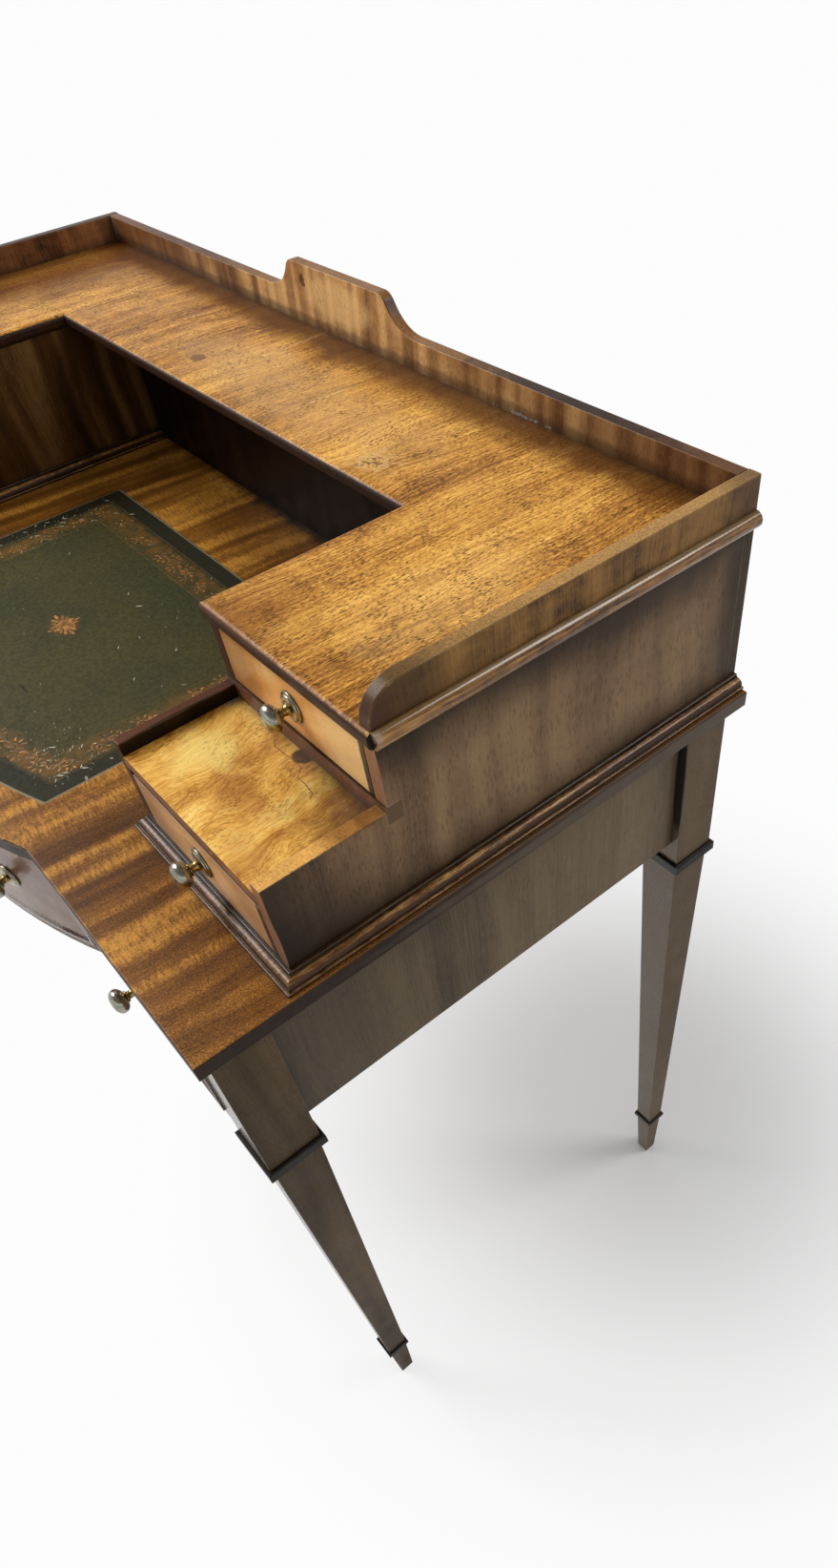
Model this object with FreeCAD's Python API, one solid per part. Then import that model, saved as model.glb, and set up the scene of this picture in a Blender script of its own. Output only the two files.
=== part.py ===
import FreeCAD, Part
import math
import os

# Bow-front lady's writing desk with a stepped, U-shaped superstructure.
# Millimetres. X runs along the desk, Y from front to back, Z up.
# The geometry is set out from the flat front edge of the top (y = 0) and the floor (z = 0), and is
# moved at the end so that the origin lies on the floor under the middle of the desk.

V = FreeCAD.Vector

# ---------------------------------------------------------------- writing top
top_width = 960.0
top_depth = 480.0               # flat front edge to back edge
top_thickness = 14.0
writing_height = 750.0
flank_width = 242.0             # the bow starts this far from each end
bow_rise = 48.0                 # how far the bow stands forward of the flat front edge
top_edge_round = 1.5

leather_side_margin = 80.5      # from the inner side of a pedestal
leather_front_margin = 40.0     # from the bowed edge
leather_back_margin = 93.0      # from the panel behind the well
leather_thickness = 1.2
leather_gap = 0.2

# ---------------------------------------------------------------- base
face_inset = 8.0                # front faces of legs and drawers behind the edge of the top
leg_size = 42.0
leg_side_inset = 4.0
leg_back_inset = 17.0
taper_top_size = 39.0
ankle_size = 21.0
foot_top_size = 20.5
foot_bottom_size = 15.0
foot_height = 85.0
foot_collar_height = 7.0
foot_collar_proud = 2.3
leg_edge_round = 0.8
foot_edge_round = 2.0
block_drop = 32.0               # the square block ends this far below the frieze
leg_collar_height = 10.0
leg_collar_proud = 3.0
collar_round = 2.0
round_limit = 0.9               # share of its wall that a rounding may take

apron_height = 118.0
apron_thickness = 20.0
apron_recess = 7.5              # outer face of an apron behind the leg's face
back_apron_thickness = 18.0
tenon_length = 20.0
tenon_thickness = 8.0
tenon_shoulder = 12.0

bottom_rail_thickness = 9.0
top_rail_thickness = 8.0
rail_depth = 40.0
rail_tenon_length = 8.0
rail_tenon_inset = 8.0
divider_offset = 0.5            # from the start of the bow, outwards
divider_thickness = 13.0
runner_overhang = 18.0          # how far a runner reaches under a drawer
guide_height = 13.0

# ---------------------------------------------------------------- superstructure
pedestal_inset = 14.0           # from the end of the top
pedestal_width = 182.0
outer_panel_thickness = 11.0
inner_panel_thickness = 9.0
lower_front = 78.0
upper_front = 166.0
back_panel_thickness = 9.0
housing_depth = 3.0

lower_rail_height = 10.0
lower_rail_depth = 20.0
lower_opening_height = 47.0
tray_rail_height = 4.5
tray_rail_setback = 1.0
tray_board_thickness = 9.0
tray_lip_height = 10.0
upper_rail_height = 13.5
upper_rail_proud = 1.5
upper_rail_depth = 12.0
upper_opening_height = 43.5
pedestal_runner_width = 10.0

well_panel_setback = 97.0       # its front face from the back edge
well_panel_thickness = 8.0

shelf_thickness = 12.0
shelf_front_overhang = 3.5
shelf_inner_overhang = 2.5
shelf_back_width = 156.0        # from front to back
shelf_nosing_round = 4.5

gallery_thickness = 10.5
gallery_height = 24.0           # also the radius of the rounded front ends
gallery_crest_height = 50.0
gallery_crest_half_width = 66.0
gallery_shoulder_width = 45.0
gallery_convex_share = 0.24     # share of the ogee that is its upper, convex curve
gallery_edge_round = 1.2
case_edge_round = 0.8

shelf_bead_radius = 6.0
moulding_reach = 10.5           # the base moulding, from its foot bead to its top bead
moulding_foot_bead = 2.0
moulding_quirk = 0.6
moulding_ovolo_reach = 8.4
moulding_ovolo_back = 3.6
moulding_ovolo_belly = 0.72     # share of its width and height; a quarter circle has 0.71
moulding_top_reach = 2.8
moulding_top_bead = 2.0

# ---------------------------------------------------------------- drawers
reveal = 1.0                    # gap round a drawer front
running_gap = 0.3               # between a drawer and what it runs on
frieze_front_thickness = 20.0
frieze_side_thickness = 9.0
frieze_bottom_thickness = 5.0
frieze_bottom_rise = 7.0
small_front_thickness = 14.0
small_side_thickness = 6.0
small_bottom_thickness = 3.5
small_bottom_rise = 4.0
box_top_gap = 2.0               # sides below the top of the opening
back_drop = 6.0                 # the drawer's back is this much lower than its sides
groove_depth = 3.0
drawer_back_space = 12.0        # behind a closed drawer, taken up by its stop
stop_width = 16.0
stop_height = 18.0
cockbead_width = 3.0
cockbead_depth = 6.0
cockbead_proud = 1.6
tail_lap = 6.0                  # wood left in front of the dovetails
tail_slope = 1.0 / 6.0
tail_gap = 4.0                  # between two tails at their tips
frieze_tails = 4
small_tails = 2

knob_from_divider = 67.0        # on the centre drawer
rosette_radius = 11.0
rosette_rim = 1.2
rosette_thickness = 2.8
rosette_step = 2.2
rosette_bevel = 0.3
stem_radius = 2.9
stem_foot_radius = 4.2
stem_foot_height = 1.6
stem_ring_radius = 4.5
stem_ring_half = 1.0
stem_length = 7.8               # its ring is at its end
ball_radius = 9.5
ball_half_length = 5.7
ball_side_radius = 4.3
ball_seat_angle = 160.0         # where the ball meets the stem, from its tip
ball_rise = 4.8                 # middle of the ball beyond the end of the stem
shank_radius = 2.0
shank_length = 11.0
shank_gap = 0.1

# ---------------------------------------------------------------- worked out from the sizes above
top_half = top_width / 2
top_under = writing_height - top_thickness
bow_half_width = top_half - flank_width
bow_radius = (bow_half_width ** 2 + bow_rise ** 2) / (2 * bow_rise)
bow_centre = bow_radius - bow_rise
origin_y = (top_depth - bow_rise) / 2

leg_outer = top_half - leg_side_inset
leg_inner = leg_outer - leg_size
leg_front = face_inset
rear_leg_back = top_depth - leg_back_inset
rear_leg_front = rear_leg_back - leg_size

frieze_bottom = top_under - apron_height
block_bottom = frieze_bottom - block_drop
side_apron_outer = leg_outer - apron_recess
side_apron_inner = side_apron_outer - apron_thickness
back_apron_outer = rear_leg_back - apron_recess
back_apron_inner = back_apron_outer - back_apron_thickness
opening_bottom = frieze_bottom + bottom_rail_thickness
opening_top = top_under - top_rail_thickness
divider_inner = bow_half_width + divider_offset - divider_thickness / 2
divider_outer = divider_inner + divider_thickness
rail_back = face_inset + rail_depth

pedestal_outer = top_half - pedestal_inset
pedestal_inner = pedestal_outer - pedestal_width
well_panel_front = top_depth - well_panel_setback
leather_half_width = pedestal_inner - leather_side_margin
leather_back = well_panel_front - leather_back_margin
bay_outer = pedestal_outer - outer_panel_thickness
bay_inner = pedestal_inner + inner_panel_thickness
case_back_inner = top_depth - back_panel_thickness
lower_opening_bottom = writing_height + lower_rail_height
lower_opening_top = lower_opening_bottom + lower_opening_height
tray_board_bottom = lower_opening_top + tray_rail_height
tray_top = tray_board_bottom + tray_board_thickness
upper_opening_bottom = tray_top + upper_rail_height
shelf_bottom = upper_opening_bottom + upper_opening_height
shelf_top = shelf_bottom + shelf_thickness
shelf_back_front = top_depth - shelf_back_width
upper_rail_front = upper_front - upper_rail_proud
moulding_height = lower_rail_height

SIDES = (("left", -1), ("right", 1))
HUGE = 4 * top_width


# ---------------------------------------------------------------- helpers
def box(x0, x1, y0, y1, z0, z1):
    """A box between two corners, given in any order along X."""
    low, high = min(x0, x1), max(x0, x1)
    return Part.makeBox(high - low, y1 - y0, z1 - z0, V(low, y0, z0))


def closed_face(edges):
    """A flat face inside a closed run of edges."""
    return Part.Face(Part.Wire([edge.toShape() for edge in edges]))


def line(p, q):
    return Part.LineSegment(p, q)


def polygon_face(points):
    return Part.Face(Part.makePolygon(points + [points[0]]))


def bow_start(inset):
    """Half-width of the bow on an outline that lies a given distance inside the edge of the top."""
    return math.sqrt((bow_radius - inset) ** 2 - (bow_centre - inset) ** 2)


def outline_edges(inset, x_end, z):
    """The front outline from right to left: a flat, the bow and the other flat."""
    start = bow_start(inset)
    crest = V(0, inset - bow_rise, z)
    right, left = V(start, inset, z), V(-start, inset, z)
    if x_end <= start:
        y_end = bow_centre - math.sqrt((bow_radius - inset) ** 2 - x_end ** 2)
        return [Part.Arc(V(x_end, y_end, z), crest, V(-x_end, y_end, z))], y_end
    edges = [line(V(x_end, inset, z), right), Part.Arc(right, crest, left)]
    edges.append(line(left, V(-x_end, inset, z)))
    return edges, inset


def front_slab(inset, x_end, y_back, z0, z1):
    """A board with the desk's front outline and a straight back."""
    edges, y_end = outline_edges(inset, x_end, z0)
    edges.append(line(V(-x_end, y_end, z0), V(-x_end, y_back, z0)))
    edges.append(line(V(-x_end, y_back, z0), V(x_end, y_back, z0)))
    edges.append(line(V(x_end, y_back, z0), V(x_end, y_end, z0)))
    return closed_face(edges).extrude(V(0, 0, z1 - z0))


def front_band(inset, depth, x_end, z0, z1):
    """A strip of even depth that follows the desk's front outline."""
    deep = rear_leg_front
    slab = front_slab(inset, x_end, deep, z0, z1)
    return slab.cut(front_slab(inset + depth, x_end + depth, deep + depth, z0, z1))


def frustum(cx, cy, size0, z0, size1, z1):
    """A square tapered block standing on its axis."""
    wires = []
    for size, z in ((size0, z0), (size1, z1)):
        h = size / 2
        corners = [V(cx - h, cy - h, z), V(cx + h, cy - h, z), V(cx + h, cy + h, z), V(cx - h, cy + h, z)]
        wires.append(Part.makePolygon(corners + [corners[0]]))
    return Part.makeLoft(wires, True, True)


def half_space(point, normal):
    """A big block with one face through the point, on the side that the normal points to."""
    block = Part.makeBox(HUGE, HUGE, HUGE, V(-HUGE / 2, -HUGE / 2, 0))
    block.Placement = FreeCAD.Placement(point, FreeCAD.Rotation(V(0, 0, 1), normal))
    return block


def fillet_where(shape, radius, wanted):
    """Round the edges that a test picks out by their box."""
    edges = [edge for edge in shape.Edges if wanted(edge.BoundBox)]
    return shape.makeFillet(radius, edges)


def is_at(value, target):
    return abs(value - target) < 0.001


def flat_in_z(bound, z):
    return is_at(bound.ZMin, z) and is_at(bound.ZMax, z)


def ring(cx, cy, inner, proud, z0, z1):
    """An applied collar moulding round a square leg, its upper outer edges rounded."""
    h = inner / 2 + proud
    outer = box(cx - h, cx + h, cy - h, cy + h, z0, z1)
    radius = min(collar_round, proud * round_limit)
    outer = fillet_where(outer, radius, lambda b: flat_in_z(b, z1))
    h = inner / 2
    return outer.cut(box(cx - h, cx + h, cy - h, cy + h, z0, z1))


def write(name, *shapes):
    """Write one node: its solids side by side in one file, in the finished frame."""
    solids = []
    for shape in shapes:
        moved = shape.copy()
        moved.translate(V(0, -origin_y, 0))
        solids.extend(moved.Solids)
    result = solids[0] if len(solids) == 1 else Part.makeCompound(solids)
    result.exportStep(os.path.join("parts", name + ".step"))


# ---------------------------------------------------------------- writing top
def make_top():
    top = front_slab(0, top_half, top_depth, top_under, writing_height)
    rim = (top_under, writing_height)
    top = fillet_where(top, top_edge_round, lambda b: any(flat_in_z(b, z) for z in rim))
    low = writing_height - leather_thickness
    recess = front_slab(leather_front_margin, leather_half_width, leather_back, low, writing_height)
    gap = leather_gap
    leather = front_slab(leather_front_margin + gap, leather_half_width - gap, leather_back - gap,
                         low, writing_height)
    write("writing_top", top.cut(recess))
    write("leather_skiver", leather)


# ---------------------------------------------------------------- base
def leg_centre(sign, rear):
    x = sign * (leg_outer - leg_size / 2)
    y = (rear_leg_front if rear else leg_front) + leg_size / 2
    return x, y


def leg_blank(sign, rear):
    """Block, taper and spade foot in one piece of wood."""
    x, y = leg_centre(sign, rear)
    h = leg_size / 2
    collar_top = foot_height + foot_collar_height
    k = ankle_size / 2
    leg = box(x - h, x + h, y - h, y + h, block_bottom, top_under)
    leg = leg.fuse(frustum(x, y, ankle_size, collar_top, taper_top_size, block_bottom))
    leg = leg.fuse(box(x - k, x + k, y - k, y + k, foot_height, collar_top))
    leg = leg.fuse(frustum(x, y, foot_bottom_size, 0, foot_top_size, foot_height))
    leg = fillet_where(leg, foot_edge_round, lambda b: is_at(b.ZMax, 0))
    return fillet_where(leg, leg_edge_round, lambda b: b.ZMax - b.ZMin > leg_size)


def side_apron(sign):
    inner, outer = sign * side_apron_inner, sign * side_apron_outer
    body = box(inner, outer, leg_front + leg_size, rear_leg_front, frieze_bottom, top_under)
    mid = (side_apron_inner + side_apron_outer) / 2
    t0, t1 = sign * (mid - tenon_thickness / 2), sign * (mid + tenon_thickness / 2)
    y0, y1 = leg_front + leg_size - tenon_length, rear_leg_front + tenon_length
    return body.fuse(box(t0, t1, y0, y1, frieze_bottom + tenon_shoulder, top_under - tenon_shoulder))


def back_apron():
    body = box(-leg_inner, leg_inner, back_apron_inner, back_apron_outer, frieze_bottom, top_under)
    mid = (back_apron_inner + back_apron_outer) / 2
    x = leg_inner + tenon_length
    t0, t1 = mid - tenon_thickness / 2, mid + tenon_thickness / 2
    # this tenon stands above the side apron's, so that the two never meet inside the leg
    low = frieze_bottom + apron_height / 2
    return body.fuse(box(-x, x, t0, t1, low, top_under - tenon_shoulder))


def bow_rail(z0, z1):
    """A front rail that follows the bow, with a stub tenon into each front leg."""
    rail = front_band(face_inset, rail_depth, leg_inner, z0, z1)
    y0, y1 = face_inset + rail_tenon_inset, rail_back - rail_tenon_inset
    x = leg_inner + rail_tenon_length
    return rail.fuse(box(-x, -leg_inner, y0, y1, z0, z1)).fuse(box(leg_inner, x, y0, y1, z0, z1))


def make_frame():
    """Aprons, front rails and the legs that they are tenoned into."""
    boards = {"side_apron_" + name: side_apron(sign) for name, sign in SIDES}
    boards["rear_apron"] = back_apron()
    boards["bottom_rail"] = bow_rail(frieze_bottom, opening_bottom)
    boards["top_rail"] = bow_rail(opening_top, top_under)
    for name, board in boards.items():
        write(name, board)
    mortises = Part.makeCompound(list(boards.values()))
    collars = []
    for name, sign in SIDES:
        for place, is_rear in (("front", False), ("rear", True)):
            write("leg_%s_%s" % (place, name), leg_blank(sign, is_rear).cut(mortises))
            x, y = leg_centre(sign, is_rear)
            collar_top = block_bottom + leg_collar_height
            collars.append(ring(x, y, leg_size, leg_collar_proud, block_bottom, collar_top))
            foot_top = foot_height + foot_collar_height
            collars.append(ring(x, y, ankle_size, foot_collar_proud, foot_height, foot_top))
    write("leg_collars", *collars)


def make_dividers():
    """Uprights between the frieze drawers, flush with the rails above and below them."""
    strip = front_band(face_inset, rail_depth, leg_inner, opening_bottom, opening_top)
    uprights = []
    for name, sign in SIDES:
        slot = box(sign * divider_inner, sign * divider_outer, -bow_rise, rail_back,
                   opening_bottom, opening_top)
        uprights.append(strip.common(slot))
    write("drawer_dividers", *uprights)


def make_frieze_runners():
    """What the frieze drawers slide on and between: runners, guides beside them and kickers above."""
    bars = []
    for name, sign in SIDES:
        for z0, z1 in ((frieze_bottom, opening_bottom), (opening_top, top_under)):
            middle = box(sign * (divider_inner - runner_overhang), sign * (divider_outer + runner_overhang),
                         rail_back, back_apron_inner, z0, z1)
            side = box(sign * (leg_inner - runner_overhang), sign * side_apron_inner,
                       rail_back, back_apron_inner, z0, z1)
            legs = leg_blank(sign, False).fuse(leg_blank(sign, True))
            bars += [middle, side.cut(legs)]
        guide_top = opening_bottom + guide_height
        bars.append(box(sign * divider_inner, sign * divider_outer, rail_back, back_apron_inner,
                        opening_bottom, guide_top))
        bars.append(box(sign * leg_inner, sign * side_apron_inner, leg_front + leg_size, rear_leg_front,
                        opening_bottom, guide_top))
    write("frieze_runners", *bars)


def make_pedestal_runners():
    """Runners of the small drawers, on the top and on the dust boards."""
    bars = []
    width = pedestal_runner_width
    for name, sign in SIDES:
        for x in (bay_inner, bay_outer - width):
            bars.append(box(sign * x, sign * (x + width), lower_front + lower_rail_depth, case_back_inner,
                            writing_height, lower_opening_bottom))
            bars.append(box(sign * x, sign * (x + width), upper_rail_front + upper_rail_depth,
                            case_back_inner, tray_top, upper_opening_bottom))
    write("pedestal_runners", *bars)


# ---------------------------------------------------------------- superstructure
def stepped_panel(x0, x1):
    """A side of the superstructure: low at the front, where it makes the tray's lip, and full behind."""
    lip_top = tray_top + tray_lip_height
    outline = [(lower_front, writing_height), (case_back_inner, writing_height),
               (case_back_inner, shelf_bottom), (upper_front, shelf_bottom),
               (upper_front, lip_top), (lower_front, lip_top)]
    face = polygon_face([V(min(x0, x1), y, z) for y, z in outline])
    panel = face.extrude(V(abs(x1 - x0), 0, 0))
    return fillet_where(panel, case_edge_round,
                        lambda b: flat_in_z(b, lip_top) and b.YMin < upper_front - case_edge_round)


def moulding_profile():
    """Base moulding as (projection, height): a foot bead, a quirk, an ovolo, a quirk and a top bead."""
    reach, height = moulding_reach, moulding_height
    foot, top = moulding_foot_bead, height - moulding_top_bead
    out, back = moulding_ovolo_reach, moulding_ovolo_back
    z0, z1 = foot + moulding_quirk, top - moulding_quirk
    belly = (back + (out - back) * moulding_ovolo_belly, z0 + (z1 - z0) * moulding_ovolo_belly)
    low_edge = reach - foot / 2
    top_edge = moulding_top_reach - moulding_top_bead / 2
    return [("line", (0, 0), (low_edge, 0)),
            ("arc", (low_edge, 0), (reach, foot / 2), (low_edge, foot)),
            ("line", (low_edge, foot), (out, foot)),
            ("line", (out, foot), (out, z0)),
            ("arc", (out, z0), belly, (back, z1)),
            ("line", (back, z1), (back, top)),
            ("line", (back, top), (top_edge, top)),
            ("arc", (top_edge, top), (moulding_top_reach, (top + height) / 2), (top_edge, height)),
            ("line", (top_edge, height), (0, height)),
            ("line", (0, height), (0, 0))]


def moulding_strip(start, direction, outward, length):
    """A straight length of the base moulding, from a point at the foot of the case."""
    def place(pair):
        return start + outward * pair[0] + V(0, 0, pair[1])

    edges = []
    for kind, *points in moulding_profile():
        spots = [place(point) for point in points]
        edges.append(line(*spots) if kind == "line" else Part.Arc(*spots))
    return closed_face(edges).extrude(direction * length)


def base_moulding(sign):
    """Three mitred lengths round the foot of one pedestal: outer side, front and inner side."""
    p = moulding_reach
    z = writing_height
    out_dir, in_dir = V(sign, 0, 0), V(-sign, 0, 0)
    outer_corner = V(sign * pedestal_outer, lower_front, z)
    inner_corner = V(sign * pedestal_inner, lower_front, z)
    ahead = V(0, -1, 0)
    outer = moulding_strip(outer_corner + ahead * p, V(0, 1, 0), out_dir, top_depth - lower_front + p)
    outer = outer.cut(half_space(outer_corner, ahead - out_dir))
    inner_length = well_panel_front - lower_front + p
    inner = moulding_strip(inner_corner + ahead * p, V(0, 1, 0), in_dir, inner_length)
    inner = inner.cut(half_space(inner_corner, ahead - in_dir))
    front_length = pedestal_outer - pedestal_inner + 2 * p
    front = moulding_strip(inner_corner + in_dir * p, out_dir, ahead, front_length)
    front = front.cut(half_space(outer_corner, out_dir - ahead))
    front = front.cut(half_space(inner_corner, in_dir - ahead))
    return [outer, front, inner]


def make_pedestals():
    rails = []
    mouldings = []
    for name, sign in SIDES:
        board = box(sign * (bay_inner - housing_depth), sign * (bay_outer + housing_depth),
                    lower_front, case_back_inner, tray_board_bottom, tray_top)
        rail = box(sign * pedestal_inner, sign * pedestal_outer, upper_rail_front,
                   upper_rail_front + upper_rail_depth, tray_top, upper_opening_bottom)
        taken = board.fuse(rail)
        outer = stepped_panel(sign * bay_outer, sign * pedestal_outer)
        inner = stepped_panel(sign * pedestal_inner, sign * bay_inner)
        write("outer_side_" + name, outer.cut(taken))
        write("inner_side_" + name, inner.cut(taken))
        write("tray_board_" + name, board)
        rails.append(rail)
        rails.append(box(sign * bay_inner, sign * bay_outer, lower_front, lower_front + lower_rail_depth,
                         writing_height, lower_opening_bottom))
        rails.append(box(sign * bay_inner, sign * bay_outer, lower_front + tray_rail_setback,
                         lower_front + lower_rail_depth, lower_opening_top, tray_board_bottom))
        mouldings += base_moulding(sign)
    write("pedestal_rails", *rails)
    write("base_mouldings", *mouldings)
    write("well_panel", box(-pedestal_inner, pedestal_inner, well_panel_front,
                            well_panel_front + well_panel_thickness, writing_height, shelf_bottom))
    write("back_panel", box(-pedestal_outer, pedestal_outer, case_back_inner, top_depth,
                            writing_height, shelf_bottom))


def make_shelf():
    """The U-shaped shelf: two arms that run to the back and a section between them."""
    front = upper_front - shelf_front_overhang
    mouth = pedestal_inner - shelf_inner_overhang
    deck = box(-pedestal_outer, pedestal_outer, front, top_depth, shelf_bottom, shelf_top)
    deck = deck.cut(box(-mouth, mouth, front, shelf_back_front, shelf_bottom, shelf_top))

    def is_nosing(bound):
        level = flat_in_z(bound, shelf_bottom) or flat_in_z(bound, shelf_top)
        round_mouth = max(abs(bound.XMin), abs(bound.XMax)) < mouth + shelf_nosing_round
        ahead = bound.YMax < shelf_back_front + shelf_nosing_round
        return level and ahead and (round_mouth or is_at(bound.YMax, front))

    deck = fillet_where(deck, shelf_nosing_round, is_nosing)
    for name, sign in SIDES:
        arm = box(sign * mouth, sign * pedestal_outer, front, top_depth, shelf_bottom, shelf_top)
        write("shelf_arm_" + name, deck.common(arm))
    write("shelf_back", deck.common(box(-mouth, mouth, front, top_depth, shelf_bottom, shelf_top)))
    beads = []
    for name, sign in SIDES:
        rod = Part.makeCylinder(shelf_bead_radius, top_depth - upper_front,
                                V(sign * pedestal_outer, upper_front, shelf_bottom + shelf_bead_radius),
                                V(0, 1, 0))
        beads.append(rod.cut(half_space(V(sign * pedestal_outer, 0, 0), V(-sign, 0, 0))))
    write("shelf_beads", *beads)


def gallery_back_face(y):
    """Outline of the back of the gallery: level ends, ogee shoulders and a raised middle."""
    end = pedestal_outer - gallery_thickness
    low, high = shelf_top + gallery_height, shelf_top + gallery_crest_height
    rise = high - low
    turn = 2 * math.atan2(rise, gallery_shoulder_width)
    radii = gallery_shoulder_width / math.sin(turn)
    convex = radii * gallery_convex_share
    crest = gallery_crest_half_width
    foot = crest + gallery_shoulder_width

    def shoulder(sign):
        """Crest to foot: a small convex arc, then a larger concave one, meeting in line."""
        c1 = V(sign * crest, y, high - convex)
        concave = radii - convex
        c2 = V(sign * foot, y, low + concave)
        spot = V(math.sin(turn) * sign, 0, math.cos(turn))
        half_spot = V(math.sin(turn / 2) * sign, 0, math.cos(turn / 2))
        meet = c1 + spot * convex
        first = Part.Arc(V(sign * crest, y, high), c1 + half_spot * convex, meet)
        second = Part.Arc(meet, c2 - half_spot * concave, V(sign * foot, y, low))
        return [first, second]

    edges = [line(V(-crest, y, high), V(crest, y, high))] + shoulder(1)
    edges.append(line(V(foot, y, low), V(end, y, low)))
    edges.append(line(V(end, y, low), V(end, y, shelf_top)))
    edges.append(line(V(end, y, shelf_top), V(-end, y, shelf_top)))
    edges.append(line(V(-end, y, shelf_top), V(-end, y, low)))
    edges.append(line(V(-end, y, low), V(-foot, y, low)))
    return Part.Face(Part.Wire(Part.__sortEdges__([e.toShape() for e in edges + shoulder(-1)])))


def make_gallery():
    y0 = top_depth - gallery_thickness
    back = gallery_back_face(y0).extrude(V(0, gallery_thickness, 0))
    back = fillet_where(back, gallery_edge_round,
                        lambda b: is_at(b.YMin, b.YMax) and b.ZMin > shelf_top + gallery_edge_round)
    write("gallery_back", back)
    radius = gallery_height
    low, high = shelf_top, shelf_top + gallery_height
    quarter = radius * math.sqrt(0.5)
    for name, sign in SIDES:
        x = min(sign * pedestal_outer, sign * (pedestal_outer - gallery_thickness))
        spots = [V(x, upper_front, low), V(x, upper_front + radius - quarter, low + quarter),
                 V(x, upper_front + radius, high)]
        edges = [Part.Arc(*spots), line(spots[2], V(x, top_depth, high)),
                 line(V(x, top_depth, high), V(x, top_depth, low)), line(V(x, top_depth, low), spots[0])]
        side = closed_face(edges).extrude(V(gallery_thickness, 0, 0))
        side = fillet_where(side, gallery_edge_round,
                            lambda b: is_at(b.XMin, b.XMax) and is_at(b.ZMax, high) and b.YMin < y0)
        write("gallery_" + name, side)


# ---------------------------------------------------------------- drawers
def knob_solid():
    """Turned brass knob on its stepped backplate, pointing out along +Z, with its shank behind."""
    seat = rosette_thickness + stem_length
    middle = seat + ball_rise
    core = ball_radius - ball_side_radius
    cap_gap = ball_half_length - ball_side_radius
    drop = (core ** 2 - cap_gap ** 2) / (2 * cap_gap)
    cap_radius = ball_half_length + drop
    lean = math.atan2(core, drop)

    def on_side(angle):
        return V(core + ball_side_radius * math.sin(angle), 0, middle + ball_side_radius * math.cos(angle))

    def on_cap(angle):
        return V(cap_radius * math.sin(angle), 0, middle - drop + cap_radius * math.cos(angle))

    start, meet, tip = on_side(math.radians(ball_seat_angle)), on_side(lean), on_cap(0)
    step, bevel = rosette_step, rosette_bevel
    inner_rim = rosette_thickness - bevel
    radii = [(shank_radius, -shank_length), (shank_radius, 0), (rosette_radius, 0),
             (rosette_radius, rosette_rim), (rosette_radius - bevel, rosette_rim + bevel),
             (rosette_radius - step, rosette_rim + bevel), (rosette_radius - step, inner_rim),
             (rosette_radius - step - bevel, rosette_thickness), (stem_foot_radius, rosette_thickness),
             (stem_radius, rosette_thickness + stem_foot_height), (stem_radius, seat - 2 * stem_ring_half),
             (stem_ring_radius, seat - stem_ring_half), (stem_radius, seat)]
    spots = [V(0, 0, -shank_length)] + [V(r, 0, d) for r, d in radii] + [start]
    edges = [line(a, b) for a, b in zip(spots, spots[1:])]
    edges.append(Part.Arc(start, on_side(math.pi / 2), meet))
    edges.append(Part.Arc(meet, on_cap(lean / 2), tip))
    edges.append(line(tip, spots[0]))
    return closed_face(edges).revolve(V(0, 0, 0), V(0, 0, 1), 360)


def shank_hole():
    """Hole in a drawer front for a knob's shank."""
    depth = shank_length + shank_gap
    return Part.makeCylinder(shank_radius + shank_gap, depth, V(0, 0, -depth))


def aim(shape, point, direction):
    """Turn a shape made along +Z to point along a direction, standing at a point."""
    placed = shape.copy()
    placed.Placement = FreeCAD.Placement(point, FreeCAD.Rotation(V(0, 0, 1), direction))
    return placed


def dovetails(x0, x1, root, tip, z0, z1, count):
    """Tails on a drawer side's front end, wider at their tips, which point to the front."""
    pitch = (z1 - z0) / count
    half_tip = (pitch - tail_gap) / 2
    half_root = half_tip - (root - tip) * tail_slope
    tails = []
    for index in range(count):
        mid = z0 + pitch * (index + 0.5)
        outline = [(root, mid - half_root), (root, mid + half_root),
                   (tip, mid + half_tip), (tip, mid - half_tip)]
        face = polygon_face([V(min(x0, x1), y, z) for y, z in outline])
        tails.append(face.extrude(V(abs(x1 - x0), 0, 0)))
    return tails


def drawer_carcase(front, zone, board, x_span, y_span, z_span, wood, count):
    """Dovetailed sides and a back between them, round a grooved bottom.

    front is the blank of the drawer's front and zone the full height of the opening that it stands in.
    x_span holds the outer faces of the sides, y_span the tails' tips, their roots and the back's rear
    face, and z_span the foot and top of the sides. Returns the front with its sockets, and the boards.
    """
    tip, root, rear = y_span
    low, high = z_span
    boards = []
    for outer, inward in ((x_span[0], 1), (x_span[1], -1)):
        inner = outer + inward * wood
        side = box(outer, inner, tip, rear, low, high).cut(zone)
        for tail in dovetails(outer, inner, root, tip, low + reveal, high, count):
            side = side.fuse(tail)
            front = front.cut(tail)
        boards.append(side.cut(board).removeSplitter())
    floor = board.BoundBox.ZMax
    boards.append(box(x_span[0] + wood, x_span[1] - wood, rear - wood, rear, floor, high - back_drop))
    return front.cut(board), boards


def cockbead(window_blank, x0, x1, z0, z1):
    """Four thin strips let into the edge of a drawer front and standing a little proud of it."""
    w = cockbead_width
    far = rear_leg_front
    spans = [(x0, x1, z0, z0 + w), (x0, x1, z1 - w, z1),
             (x0, x0 + w, z0 + w, z1 - w), (x1 - w, x1, z0 + w, z1 - w)]
    return [window_blank.common(box(a, b, -far, far, c, d)) for a, b, c, d in spans]


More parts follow.
